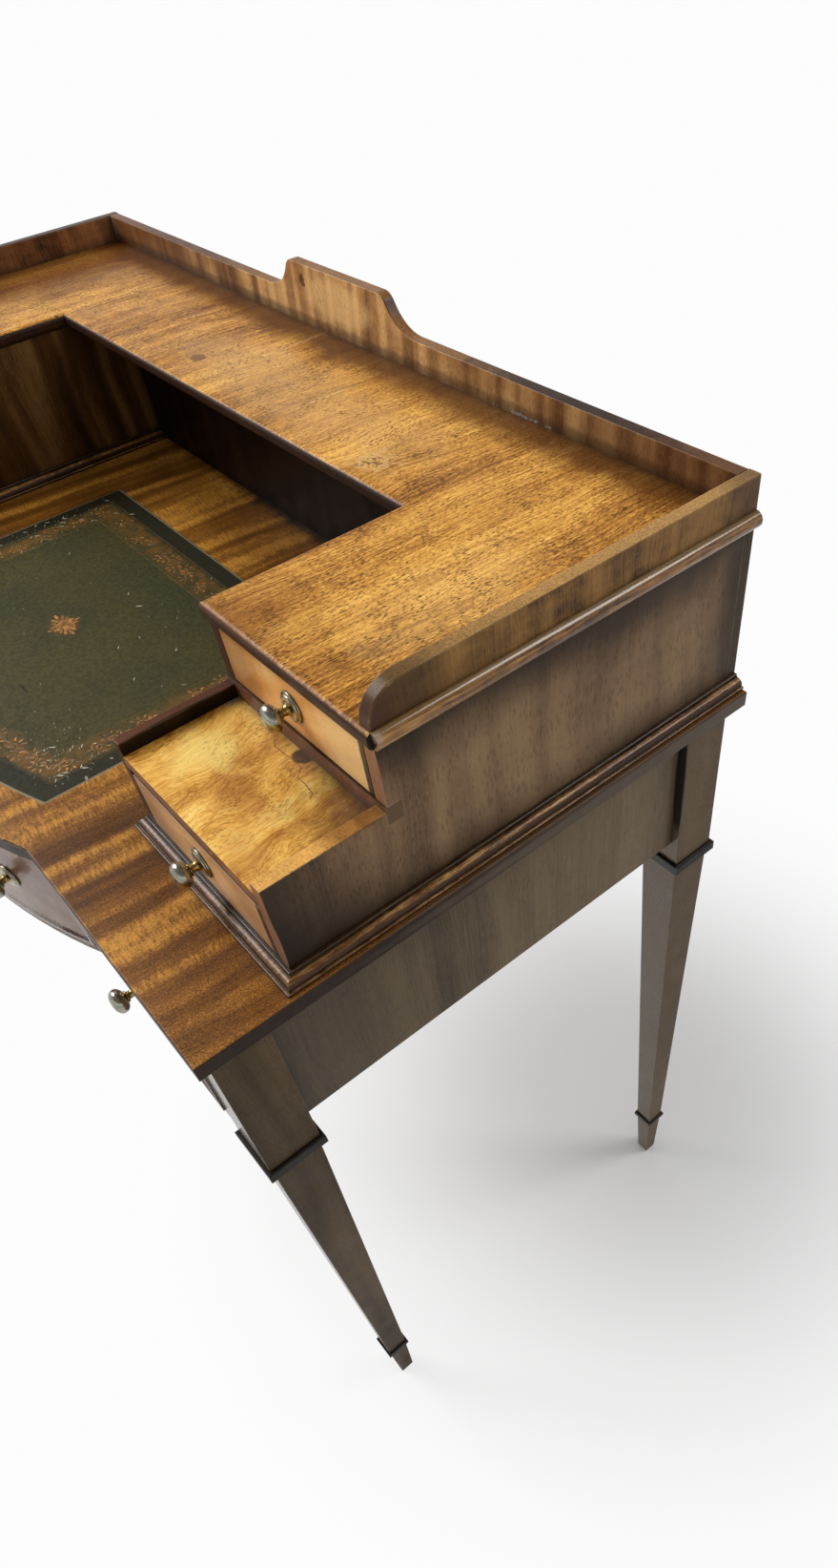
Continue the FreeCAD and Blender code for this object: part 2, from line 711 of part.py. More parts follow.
def frieze_drawer(name, x0, x1, knob_places):
    """A drawer in the frieze, its front following the desk's outline."""
    left, right = x0 + reveal, x1 - reveal
    low, high = opening_bottom + reveal, opening_top - reveal
    rear = back_apron_inner - drawer_back_space
    column = box(left, right, -HUGE, rear, 0, HUGE)
    zone = front_band(face_inset, frieze_front_thickness, leg_inner, opening_bottom, opening_top)
    zone = zone.common(column)
    beads = front_band(face_inset - cockbead_proud, cockbead_depth, leg_inner, low, high).common(column)
    beads = cockbead(beads, left, right, low, high)
    blank = zone.common(box(left, right, -HUGE, rear, low, high)).cut(Part.makeCompound(beads))

    floor = opening_bottom + running_gap + frieze_bottom_rise
    board = front_slab(face_inset + frieze_front_thickness - groove_depth, leg_inner, rear,
                       floor, floor + frieze_bottom_thickness)
    reach = frieze_side_thickness - groove_depth
    board = board.common(box(left + reach, right - reach, -HUGE, rear, 0, HUGE))

    root = face_inset + frieze_front_thickness
    if x0 < 0 < x1:
        root = bow_centre - math.sqrt((bow_radius - root) ** 2 - right ** 2)
    tip = root - frieze_front_thickness + tail_lap
    sides = (opening_bottom + running_gap, opening_top - box_top_gap)
    front, boards = drawer_carcase(blank, zone, board, (left, right), (tip, root, rear), sides,
                                   frieze_side_thickness, frieze_tails)
    knobs = []
    for x in knob_places:
        spot, direction = V(x, face_inset, (low + high) / 2), V(0, -1, 0)
        if abs(x) < bow_start(face_inset):
            spot.y = bow_centre - math.sqrt((bow_radius - face_inset) ** 2 - x ** 2)
            direction = V(x, spot.y - bow_centre, 0)
        knobs.append(aim(knob_solid(), spot, direction))
        front = front.cut(aim(shank_hole(), spot, direction))
    write(name + "_front", front)
    write(name + "_box", *boards)
    write(name + "_bottom", board)
    write(name + "_cockbead", *beads)
    write(name + ("_knobs" if len(knobs) > 1 else "_knob"), *knobs)


def small_drawer(name, sign, face, z0, z1):
    """A drawer in the superstructure with a plain flat front."""
    x0, x1 = sorted((sign * bay_inner, sign * bay_outer))
    left, right = x0 + reveal, x1 - reveal
    low, high = z0 + reveal / 2, z1 - reveal
    root = face + small_front_thickness
    rear = case_back_inner - drawer_back_space
    zone = box(left, right, face, root, z0, z1)
    blank = box(left, right, face, root, low, high)
    blank = fillet_where(blank, case_edge_round, lambda b: is_at(b.YMax, face))
    floor = z0 + running_gap + small_bottom_rise
    reach = small_side_thickness - groove_depth
    board = box(left + reach, right - reach, root - groove_depth, rear, floor, floor + small_bottom_thickness)
    tip = face + tail_lap
    sides = (z0 + running_gap, z1 - box_top_gap)
    front, boards = drawer_carcase(blank, zone, board, (left, right), (tip, root, rear), sides,
                                   small_side_thickness, small_tails)
    spot, direction = V((left + right) / 2, face, (low + high) / 2), V(0, -1, 0)
    write(name + "_front", front.cut(aim(shank_hole(), spot, direction)))
    write(name + "_box", board, *boards)
    write(name + "_knob", aim(knob_solid(), spot, direction))


def make_stops():
    """Blocks that a closed drawer's back comes to rest against."""
    stops = []
    for name, sign in SIDES:
        frieze_y = back_apron_inner - drawer_back_space + running_gap
        for x in (divider_inner - stop_width, divider_outer):
            stops.append(box(sign * x, sign * (x + stop_width), frieze_y, back_apron_inner,
                             opening_bottom, opening_bottom + stop_height))
        case_y = case_back_inner - drawer_back_space + running_gap
        mid = sign * (bay_inner + bay_outer) / 2
        for floor in (writing_height, tray_top):
            stops.append(box(mid - stop_width / 2, mid + stop_width / 2, case_y, case_back_inner,
                             floor, floor + stop_height + lower_rail_height))
    write("drawer_stops", *stops)


def make_drawers():
    knob_place = divider_inner - knob_from_divider
    frieze_drawer("centre_drawer", -divider_inner, divider_inner, (-knob_place, knob_place))
    flank_middle = (divider_outer + leg_inner) / 2
    frieze_drawer("left_drawer", -leg_inner, -divider_outer, (-flank_middle,))
    frieze_drawer("right_drawer", divider_outer, leg_inner, (flank_middle,))
    for name, sign in SIDES:
        small_drawer("lower_%s_drawer" % name, sign, lower_front, lower_opening_bottom, lower_opening_top)
        small_drawer("upper_%s_drawer" % name, sign, upper_front, upper_opening_bottom, shelf_bottom)
    make_stops()


os.makedirs("parts", exist_ok=True)
make_top()
make_frame()
make_dividers()
make_frieze_runners()
make_pedestals()
make_pedestal_runners()
make_shelf()
make_gallery()
make_drawers()
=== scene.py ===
import logging
import math
from dataclasses import dataclass
from enum import Enum
from typing import Any, Sequence

import bmesh
import bpy
from mathutils import Matrix, Vector


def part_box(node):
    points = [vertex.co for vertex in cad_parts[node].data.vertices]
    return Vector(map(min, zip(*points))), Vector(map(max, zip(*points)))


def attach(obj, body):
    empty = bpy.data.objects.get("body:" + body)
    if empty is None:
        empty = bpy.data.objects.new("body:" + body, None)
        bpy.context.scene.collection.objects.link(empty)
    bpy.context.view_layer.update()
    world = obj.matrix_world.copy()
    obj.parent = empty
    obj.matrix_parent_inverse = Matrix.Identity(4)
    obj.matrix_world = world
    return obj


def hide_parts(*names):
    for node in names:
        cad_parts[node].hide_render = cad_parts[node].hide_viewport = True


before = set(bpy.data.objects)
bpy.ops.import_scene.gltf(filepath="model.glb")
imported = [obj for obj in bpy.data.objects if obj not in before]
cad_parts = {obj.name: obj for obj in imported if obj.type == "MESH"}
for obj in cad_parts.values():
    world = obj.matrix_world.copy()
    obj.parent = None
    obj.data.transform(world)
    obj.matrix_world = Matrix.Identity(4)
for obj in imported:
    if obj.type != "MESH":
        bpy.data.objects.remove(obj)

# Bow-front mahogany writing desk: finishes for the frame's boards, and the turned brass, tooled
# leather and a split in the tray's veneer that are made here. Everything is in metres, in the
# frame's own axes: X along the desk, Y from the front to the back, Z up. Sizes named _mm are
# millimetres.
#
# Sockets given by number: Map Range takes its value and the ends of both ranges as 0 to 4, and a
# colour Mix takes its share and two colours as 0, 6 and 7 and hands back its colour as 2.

MM = 0.001
LOG = logging.getLogger("desk")
Rgba = tuple[float, float, float, float]
Pair = tuple[float, float]
Tree = bpy.types.NodeTree


# ---------------------------------------------------------------- small tools
def linear(code: str) -> Rgba:
    """Turn an sRGB hex colour into linear RGBA.

    Args:
        code: the colour as "#rrggbb".

    Returns:
        Linear red, green, blue and an alpha of 1.
    """
    parts = [int(code[i:i + 2], 16) / 255 for i in (1, 3, 5)]
    low = [p / 12.92 if p <= 0.04045 else ((p + 0.055) / 1.055) ** 2.4 for p in parts]
    return (low[0], low[1], low[2], 1.0)


def add(tree: Tree, kind: str, inputs: dict[Any, Any] | None = None, out: int | str = 0,
        stops: Sequence[tuple[float, str]] = (), **settings: Any) -> Any:
    """Add one node with its settings and links.

    Args:
        tree: the shader or geometry tree.
        kind: the node's type name; one without "Node" in it is a shader node's.
        inputs: sockets by name or index, each with a value, the output that feeds it, or a
            list of outputs in order.
        out: which output to hand back.
        stops: places and hex colours of a colour ramp.
        settings: the node's own properties.

    Returns:
        The chosen output, or the node itself if it has none.
    """
    node = tree.nodes.new(kind if "Node" in kind else "ShaderNode" + kind)
    for key, value in settings.items():
        setattr(node, key, value)
    for index, (place, code) in enumerate(stops):
        ramp = node.color_ramp.elements
        stop = ramp[index] if index < 2 else ramp.new(place)
        stop.position = place
        stop.color = linear(code)
    for key, value in (inputs or {}).items():
        feeds = value if isinstance(value, list) else [value]
        if not isinstance(feeds[0], bpy.types.NodeSocket):
            node.inputs[key].default_value = value
            continue
        for feed in reversed(feeds):
            tree.links.new(feed, node.inputs[key])
    return node.outputs[out] if node.outputs else node


def patches(tree: Tree, place: Any, size_mm: float, detail: float, span: Pair,
            share: Pair = (0.0, 1.0)) -> Any:
    """Soft patches of one size: a noise whose middle values are stretched to a range.

    Args:
        tree: the material's tree.
        place: where on the surface, in metres.
        size_mm: the patches' size.
        detail: how much finer detail they hold.
        span: the noise's values that become the range's two ends.
        share: the range.

    Returns:
        The patches' strength.
    """
    noise = add(tree, "TexNoise", {"Vector": place, "Scale": 1 / (size_mm * MM), "Detail": detail})
    return add(tree, "MapRange", {0: noise, 1: span[0], 2: span[1], 3: share[0], 4: share[1]})


def streaks(tree: Tree, along: Any, size_mm: Pair, detail: float) -> Any:
    """Streaks along the grain: a noise drawn out on its first axis.

    Args:
        tree: the material's tree.
        along: the place in millimetres, with the grain on the first axis.
        size_mm: the streaks' length and width.
        detail: how much finer detail they hold.

    Returns:
        The noise, around a half.
    """
    length, width = size_mm
    cells = add(tree, "Mapping", {"Vector": along,
                                  "Scale": (1 / length, 1 / width, 1 / width)})
    return add(tree, "TexNoise", {"Vector": cells, "Scale": 1.0, "Detail": detail})


def lay(tree: Tree, colour: Any, tone: str, value: Any, span: Pair, share: Pair,
        **settings: Any) -> Any:
    """Lay a tone over a colour, as strongly as some value asks.

    Args:
        tree: the material's tree.
        colour: the colour so far.
        tone: the tone's hex colour.
        value: what decides how strongly the tone shows.
        span: the two values between which its share changes.
        share: its share at those two values.
        settings: how the share changes between them.

    Returns:
        The colour with the tone over it.
    """
    cover = add(tree, "MapRange", {0: value, 1: span[0], 2: span[1], 3: share[0], 4: share[1]},
                **settings)
    return add(tree, "Mix", {0: cover, 6: colour, 7: linear(tone)}, out=2, data_type="RGBA")


def new_material(name: str) -> tuple[bpy.types.Material, Tree, Any]:
    """Begin a material with an empty tree.

    Args:
        name: the material's name.

    Returns:
        The material, its tree, and the place on the surface in metres.
    """
    material = bpy.data.materials.new(name)
    material.use_nodes = True
    material.node_tree.nodes.clear()
    return material, material.node_tree, add(material.node_tree, "TexCoord", out="Object")


def new_piece(name: str, mesh: bpy.types.Mesh) -> bpy.types.Object:
    """Put a mesh into the scene as an object at the origin.

    Args:
        name: the piece's name.
        mesh: its mesh.

    Returns:
        The new object.
    """
    mesh.name = name
    piece = bpy.data.objects.new(name, mesh)
    bpy.context.scene.collection.objects.link(piece)
    return piece


def new_spots(places: Sequence[Sequence[float]],
              aims: Sequence[Sequence[float]]) -> bpy.types.Mesh:
    """A mesh of single points, each with the direction that its instance turns to.

    Args:
        places: the points.
        aims: their directions.

    Returns:
        The mesh, with the directions as the attribute "aim".
    """
    mesh = bpy.data.meshes.new("spots")
    mesh.from_pydata([tuple(place) for place in places], [], [])
    aim = mesh.attributes.new("aim", "FLOAT_VECTOR", "POINT")
    aim.data.foreach_set("vector", [part for way in aims for part in way])
    return mesh


def grow(name: str, start: bpy.types.Mesh, tree: Tree,
         values: dict[str, Any]) -> bpy.types.Object:
    """Run a Geometry Nodes tree on a starting mesh and keep the result as a plain mesh.

    Args:
        name: the finished piece's name.
        start: the points or path that the tree begins from.
        tree: the tree, which ends in Realize Instances and Set Material.
        values: the tree's named inputs.

    Returns:
        A new object at the origin, with no modifier.
    """
    carrier = new_piece(name + "_start", start)
    modifier = carrier.modifiers.new("make", "NODES")
    modifier.node_group = tree
    sockets = {item.name: item.identifier for item in tree.interface.items_tree
               if item.in_out == "INPUT"}
    for label, value in values.items():
        modifier[sockets[label]] = value
    graph = bpy.context.evaluated_depsgraph_get()
    mesh = bpy.data.meshes.new_from_object(carrier.evaluated_get(graph),
                                           preserve_all_data_layers=True, depsgraph=graph)
    bpy.data.objects.remove(carrier)
    return new_piece(name, mesh)


def new_tree(name: str, **inputs: str) -> tuple[Tree, dict[str, Any]]:
    """Begin a Geometry Nodes tree.

    Args:
        name: the tree's name.
        inputs: each input's label, with _ for a space, and the kind of its socket.

    Returns:
        The tree and its inputs by label, with the starting geometry as "Geometry".
    """
    tree = bpy.data.node_groups.new(name, "GeometryNodeTree")
    face = tree.interface
    for label, kind in {"Geometry": "Geometry", **inputs}.items():
        face.new_socket(name=label.replace("_", " "), in_out="INPUT",
                        socket_type="NodeSocket" + kind)
    face.new_socket(name="Geometry", in_out="OUTPUT", socket_type="NodeSocketGeometry")
    given = tree.nodes.new("NodeGroupInput")
    return tree, {socket.name: socket for socket in given.outputs if socket.name}


def finish_tree(tree: Tree, geometry: Any, material: Any) -> None:
    """End a Geometry Nodes tree in Realize Instances and Set Material.

    Args:
        tree: the tree.
        geometry: what it has made.
        material: the finish.
    """
    real = add(tree, "GeometryNodeRealizeInstances", {"Geometry": geometry})
    dressed = add(tree, "GeometryNodeSetMaterial", {"Geometry": real, "Material": material})
    add(tree, "NodeGroupOutput", {0: dressed})


def line_tree(name: str) -> Tree:
    """Geometry Nodes: a flat line of one width along a path.

    Args:
        name: the tree's name.

    Returns:
        The tree.
    """
    tree, given = new_tree(name, Width="Float", Rise="Float", Material="Material")
    curve = add(tree, "GeometryNodeMeshToCurve", {"Mesh": given["Geometry"]})
    curve = add(tree, "GeometryNodeSetCurveNormal", {"Curve": curve}, mode="Z_UP")
    profile = add(tree, "GeometryNodeCurvePrimitiveQuadrilateral",
                  {"Width": given["Width"], "Height": 0.02 * MM})
    band = add(tree, "GeometryNodeCurveToMesh", {"Curve": curve, "Profile Curve": profile,
                                                 "Fill Caps": True})
    lift = add(tree, "CombineXYZ", {"Z": given["Rise"]})
    band = add(tree, "GeometryNodeSetPosition", {"Geometry": band, "Offset": lift})
    finish_tree(tree, band, given["Material"])
    return tree


def path_mesh(points: Sequence[Vector], closed: bool) -> bpy.types.Mesh:
    """A mesh of edges through some points.

    Args:
        points: the points in order.
        closed: whether the last is joined to the first.

    Returns:
        The mesh.
    """
    edges = [(i, i + 1) for i in range(len(points) - 1)]
    if closed:
        edges.append((len(points) - 1, 0))
    mesh = bpy.data.meshes.new("path")
    mesh.from_pydata([tuple(p) for p in points], edges, [])
    return mesh


# ---------------------------------------------------------------- finishes
class Grain(Enum):
    """Which way a board's grain runs: the turn that lays that way on a pattern's first axis."""

    ALONG_DESK = (0.0, 0.0, 0.0)
    FRONT_TO_BACK = (0.0, 0.0, -math.pi / 2)
    UPRIGHT = (0.0, math.pi / 2, 0.0)


class Facing(Enum):
    """Which way a veneered face looks. The other faces of the board show its plain edges."""

    TOP = (0.0, 0.0, 1.0)
    FRONT = (0.0, 1.0, 0.0)
    SIDE = (1.0, 0.0, 0.0)


@dataclass(frozen=True)
class Mark:
    """A stain, patch, chip or bloom, or a painted highlight, glint or shadow, on a surface, as a
    soft-edged ellipse.

    Its centre and half sizes are in millimetres; a half size of 0 leaves that axis open.
    """

    centre_mm: tuple[float, float, float]
    half_mm: tuple[float, float, float]
    tone: str
    share: float
    ragged: float = 0.35
    grit_mm: float = 4.0
    soft: float = 0.3


@dataclass(frozen=True)
class Burr:
    """A place where the grain parts and runs round a small burr."""

    centre_mm: tuple[float, float, float]
    reach_mm: float
    push_mm: float


@dataclass(frozen=True)
class MahoganyVeneer:
    """French-polished mahogany veneer.

    Sliced mahogany has interlocked grain: broad ribbons run along it and change from dark to
    golden, fine bars cross the light ribbons, and open pores take the stain and show as short
    dark dashes. The shellac and wax over it are smooth and clear. The corners are darkened with
    painted shade, and the edges are lightened along their arrises: rubbed polish, and painted
    highlights.
    """

    name: str
    grain: Grain
    facing: Facing
    dark: str
    middle: str
    light: str
    edge: str
    top_edge: str = ""
    edge_streak: str = ""
    ribbon_mm: float = 16.0
    ribbon: float = 0.6
    mottle_mm: float = 9.0
    mottle: float = 0.25
    broad: float = 0.4
    broad_mm: Pair = (260.0, 80.0)
    slant_deg: float = 0.0
    wander_mm: float = 6.0
    wander_span_mm: float = 150.0
    swirl_mm: float = 0.0
    swirl_span_mm: float = 48.0
    bars: float = 0.0
    bar_mm: Pair = (1.9, 10.0)
    fleck: float = 0.35
    fleck_mm: Pair = (3.2, 1.0)
    pores: float = 0.5
    pore_mm: Pair = (5.5, 1.5)
    pore_tone: str = "#2e1808"
    streak: float = 0.2
    streak_mm: Pair = (60.0, 1.8)
    edge_streak_mm: Pair = (50.0, 1.25)
    shade: float = 0.0
    shade_mm: float = 40.0
    # These three paint shade: darker in corners and recesses, found by ambient occlusion.
    corner_shade: float = 0.7
    corner_shade_mm: float = 9.0
    corner_shade_tone: str = "#120a05"
    # These three lighten the edges along their arrises: rubbed polish, and painted highlights.
    rubbed: str = "#b08a5a"
    rub_highlight: float = 0.5
    rub_highlight_mm: float = 0.9
    roughness: float = 0.36
    gloss: float = 0.12
    front_gloss: float = 0.0
    specular: float = 0.22
    shift_mm: tuple[float, float, float] = (0.0, 0.0, 0.0)
    marks: tuple[Mark, ...] = ()
    burrs: tuple[Burr, ...] = ()

    def build(self, low: Vector, high: Vector) -> bpy.types.Material:
        """Make the material.

        Args:
            low: lowest corner of the board, for the shading towards its edges.
            high: its highest corner.

        Returns:
            The finished material.
        """
        material, tree, here = new_material(self.name)
        along = self._grain_space(tree, here)
        tone = self._tone(tree, along)
        colour = add(tree, "ValToRGB", {0: tone},
                     stops=((0.0, self.dark), (1.0, self.light), (0.5, self.middle)))
        if self.shade:
            colour = self._shade(tree, here, colour, low, high)
        colour = self._edges(tree, colour, along)
        for mark in self.marks:
            colour = self._mark(tree, here, colour, mark)
        pore = self._pores(tree, along)
        colour = add(tree, "Mix", {0: pore, 6: colour, 7: linear(self.pore_tone)}, out=2,
                     data_type="RGBA")
        colour = self._painted_shade_and_highlight(tree, here, colour)
        bump = add(tree, "Bump", {"Height": pore, "Strength": 0.2, "Distance": 0.1 * MM},
                   invert=True)
        rough = patches(tree, here, 25.0, 3.0, (0.3, 0.7),
                        (self.roughness - 0.06, self.roughness + 0.08))
        surface = add(tree, "BsdfPrincipled",
                      {"Base Color": colour, "Roughness": rough, "Normal": bump, "IOR": 1.5,
                       "Specular IOR Level": self.specular, "Coat Weight": self._polish(tree),
                       "Coat Roughness": 0.12, "Coat IOR": 1.5})
        add(tree, "OutputMaterial", {"Surface": surface})
        return material

    def _polish(self, tree: Tree) -> Any:
        """How thick the polish is: the same all over, or thicker on the faces in front.

        Args:
            tree: the material's tree.

        Returns:
            The coat's weight.
        """
        if not self.front_gloss:
            return self.gloss
        normal = add(tree, "NewGeometry", out="Normal")
        back = add(tree, "VectorMath", {0: normal, 1: Facing.FRONT.value}, out=1,
                   operation="DOT_PRODUCT")
        return add(tree, "MapRange", {0: back, 1: -0.95, 2: -0.7, 3: self.front_gloss,
                                      4: self.gloss})

    def _grain_space(self, tree: Tree, here: Any) -> Any:
        """Millimetres, with the grain on the first axis and a slow wander across it.

        Args:
            tree: the material's tree.
            here: the place on the surface, in metres.

        Returns:
            The place in the grain.
        """
        slant = Vector(self.facing.value) * math.radians(self.slant_deg)
        leaned = add(tree, "Mapping", {"Vector": here, "Rotation": slant})
        along = add(tree, "Mapping", {"Vector": leaned, "Rotation": self.grain.value,
                                      "Scale": (1 / MM,) * 3, "Location": self.shift_mm})
        for burr in self.burrs:
            along = self._part(tree, here, along, burr)
        for span_mm, reach in ((self.wander_span_mm, self.wander_mm),
                               (self.swirl_span_mm, self.swirl_mm)):
            if not reach:
                continue
            drift = add(tree, "TexNoise", {"Vector": along, "Scale": 1 / span_mm, "Detail": 1.5},
                        out="Color")
            drift = add(tree, "VectorMath", {0: drift, 1: (0.5,) * 3}, operation="SUBTRACT")
            along = add(tree, "VectorMath",
                        {0: drift, 1: (0.0, reach * 4, reach * 4), 2: along},
                        operation="MULTIPLY_ADD")
        return along

    def _part(self, tree: Tree, here: Any, along: Any, burr: Burr) -> Any:
        """Push the grain apart round a burr, less and less away from it.

        Args:
            tree: the material's tree.
            here: the place on the surface, in metres.
            along: the place in millimetres, with the grain on the first axis.
            burr: the burr.

        Returns:
            The place in the parted grain.
        """
        gap = add(tree, "VectorMath",
                  {0: here, 1: (1 / MM,) * 3, 2: [-c for c in burr.centre_mm]},
                  operation="MULTIPLY_ADD")
        far = add(tree, "VectorMath", {0: gap}, out=1, operation="LENGTH")
        near = add(tree, "MapRange", {0: far, 1: 0.0, 2: burr.reach_mm, 3: burr.push_mm, 4: 0.0},
                   interpolation_type="SMOOTHSTEP")
        across = add(tree, "SeparateXYZ", {0: gap})
        turn = burr.reach_mm / 4
        side = add(tree, "MapRange", {0: across, 1: -turn, 2: turn, 3: 1.0, 4: -1.0},
                   interpolation_type="SMOOTHSTEP")
        push = add(tree, "Math", {0: near, 1: side}, operation="MULTIPLY")
        push = add(tree, "CombineXYZ", {"Y": push})
        return add(tree, "VectorMath", {0: along, 1: push}, operation="ADD")

    def _tone(self, tree: Tree, along: Any) -> Any:
        """Ribbons, mottle, streaks, bars and flecks added up around a half.

        Args:
            tree: the material's tree.
            along: the place in millimetres, with the grain on the first axis.

        Returns:
            The tone, 0 at its darkest and 1 at its lightest.
        """
        total: Any = 0.5
        light: Any = 0.5
        layers = {"ribbon": (self.ribbon, (self.ribbon_mm * 26, self.ribbon_mm), 1.0),
                  "broad": (self.broad, self.broad_mm, 1.0),
                  "mottle": (self.mottle, (self.mottle_mm, self.mottle_mm * 2.2), 3.0),
                  "streak": (self.streak, self.streak_mm, 2.0),
                  "bars": (self.bars, self.bar_mm, 1.0),
                  "fleck": (self.fleck, self.fleck_mm, 2.0)}
        for layer, (share, size_mm, detail) in layers.items():
            if not share:
                continue
            value = streaks(tree, along, size_mm, detail)
            value = add(tree, "MapRange", {0: value, 1: 0.34, 2: 0.66, 3: -share / 2,
                                           4: share / 2})
            if layer == "ribbon":
                light = add(tree, "MapRange", {0: value, 1: -share / 4, 2: share / 4})
            if layer == "bars":
                value = add(tree, "Math", {0: value, 1: light}, operation="MULTIPLY")
            total = add(tree, "Math", {0: total, 1: value}, operation="ADD")
        return total

    def _pores(self, tree: Tree, along: Any) -> Any:
        """Short dark dashes, thicker in some places than others.

        Real pores are 0.1 to 0.2 mm wide; these are drawn coarser, as they need to be to show.

        Args:
            tree: the material's tree.
            along: the place in millimetres, with the grain on the first axis.

        Returns:
            How dark the pores are.
        """
        length, width = self.pore_mm
        cells = add(tree, "Mapping",
                    {"Vector": along, "Scale": (1 / length, 1 / width, 1 / width)})
        spot = add(tree, "TexVoronoi", {"Vector": cells, "Scale": 1.0})
        patch = add(tree, "TexNoise", {"Vector": along, "Scale": 1 / 18.0, "Detail": 2.0})
        reach = add(tree, "MapRange", {0: patch, 1: 0.35, 2: 0.65, 3: 0.2, 4: 0.5})
        spot = add(tree, "Math", {0: spot, 1: reach}, operation="DIVIDE")
        return add(tree, "MapRange", {0: spot, 1: 0.55, 2: 1.0, 3: self.pores, 4: 0.0})

    def _edges(self, tree: Tree, colour: Any, along: Any) -> Any:
        """The board's other faces take a plain edge colour, and its top may have its own.

        Args:
            tree: the material's tree.
            colour: the colour so far.
            along: the place in millimetres, with the grain on the first axis.

        Returns:
            The colour with the edges' own.
        """
        normal = add(tree, "NewGeometry", out="Normal")
        facing = add(tree, "VectorMath", {0: normal, 1: self.facing.value}, out=1,
                     operation="DOT_PRODUCT")
        flat = add(tree, "Math", {0: facing}, operation="ABSOLUTE")
        flat = add(tree, "MapRange", {0: flat, 1: 0.55, 2: 0.9})
        value = streaks(tree, along, self.edge_streak_mm, 3.0)
        value = add(tree, "MapRange", {0: value, 1: 0.35, 2: 0.7, 3: 0.0, 4: 0.6})
        streak = linear(self.edge_streak or self.dark)
        edge = add(tree, "Mix", {0: value, 6: linear(self.edge), 7: streak}, out=2,
                   data_type="RGBA")
        if self.top_edge:
            up = add(tree, "VectorMath", {0: normal, 1: Facing.TOP.value}, out=1,
                     operation="DOT_PRODUCT")
            up = add(tree, "MapRange", {0: up, 1: 0.55, 2: 0.8})
            top = add(tree, "Mix", {0: value, 6: linear(self.top_edge), 7: linear(self.edge)},
                      out=2, data_type="RGBA")
            edge = add(tree, "Mix", {0: up, 6: edge, 7: top}, out=2, data_type="RGBA")
        return add(tree, "Mix", {0: flat, 6: edge, 7: colour}, out=2, data_type="RGBA")

    def _mark(self, tree: Tree, here: Any, colour: Any, mark: Mark) -> Any:
        """Lay one stain, patch, chip, bloom, or painted highlight, glint or shadow over the
        colour.

        Args:
            tree: the material's tree.
            here: the place on the surface, in metres.
            colour: the colour so far.
            mark: the stain, patch, chip, bloom, or painted highlight, glint or shadow.

        Returns:
            The colour with the mark.
        """
        scale = [1 / (half * MM) if half else 0.0 for half in mark.half_mm]
        shift = [-c * MM * s for c, s in zip(mark.centre_mm, scale)]
        spot = add(tree, "Mapping", {"Vector": here, "Scale": scale, "Location": shift})
        reach = add(tree, "VectorMath", {0: spot}, out=1, operation="LENGTH")
        rag = add(tree, "TexNoise", {"Vector": here, "Scale": 1 / (mark.grit_mm * MM),
                                     "Detail": 3.0})
        reach = add(tree, "Math", {0: rag, 1: mark.ragged * 2, 2: reach},
                    operation="MULTIPLY_ADD")
        rim = 1.0 + mark.ragged
        return lay(tree, colour, mark.tone, reach, (rim - mark.soft, rim), (mark.share, 0.0),
                   interpolation_type="SMOOTHSTEP")

    def _shade(self, tree: Tree, here: Any, colour: Any, low: Vector, high: Vector) -> Any:
        """Darker polish towards the board's edges, as a shaded finish has.

        Args:
            tree: the material's tree.
            here: the place on the surface, in metres.
            colour: the colour so far.
            low: lowest corner of the board.
            high: its highest corner.

        Returns:
            The shaded colour.
        """
        half = (high - low) / 2
        for axis in range(3):
            if self.facing.value[axis]:
                half[axis] = 1.0
        gap = add(tree, "VectorMath", {0: here, 1: (low + high) / 2}, operation="SUBTRACT")
        gap = add(tree, "VectorMath", {0: gap}, operation="ABSOLUTE")
        gap = add(tree, "VectorMath", {0: half, 1: gap}, operation="SUBTRACT")
        gap = add(tree, "SeparateXYZ", {0: gap})
        x, y, z = (gap.node.outputs[i] for i in range(3))
        near = add(tree, "Math", {0: x, 1: y}, operation="MINIMUM")
        near = add(tree, "Math", {0: near, 1: z}, operation="MINIMUM")
        drift = add(tree, "TexNoise", {"Vector": here, "Scale": 1 / (60 * MM)})
        depth = self.shade_mm * MM
        near = add(tree, "Math", {0: drift, 1: depth, 2: near}, operation="MULTIPLY_ADD")
        return lay(tree, colour, self.dark, near, (depth * 0.5, depth * 1.6), (self.shade, 0.0),
                   interpolation_type="SMOOTHSTEP")

    def _painted_shade_and_highlight(self, tree: Tree, here: Any, colour: Any) -> Any:
        """Painted shade, dark in the corners, and painted highlights where the edges are lightened
        as rubbed polish is.

        Args:
            tree: the material's tree.
            here: the place on the surface, in metres.
            colour: the colour so far.

        Returns:
            The colour with its painted shade and highlights.
        """
        # Painted shade: darker where ambient occlusion finds a corner or recess.
        corner_occlusion = add(tree, "AmbientOcclusion", {"Distance": self.corner_shade_mm * MM}, out="AO",
                       samples=4)
        colour = lay(tree, colour, self.corner_shade_tone, corner_occlusion, (0.35, 0.95), (self.corner_shade, 0.0))
        if not self.rub_highlight:
            return colour
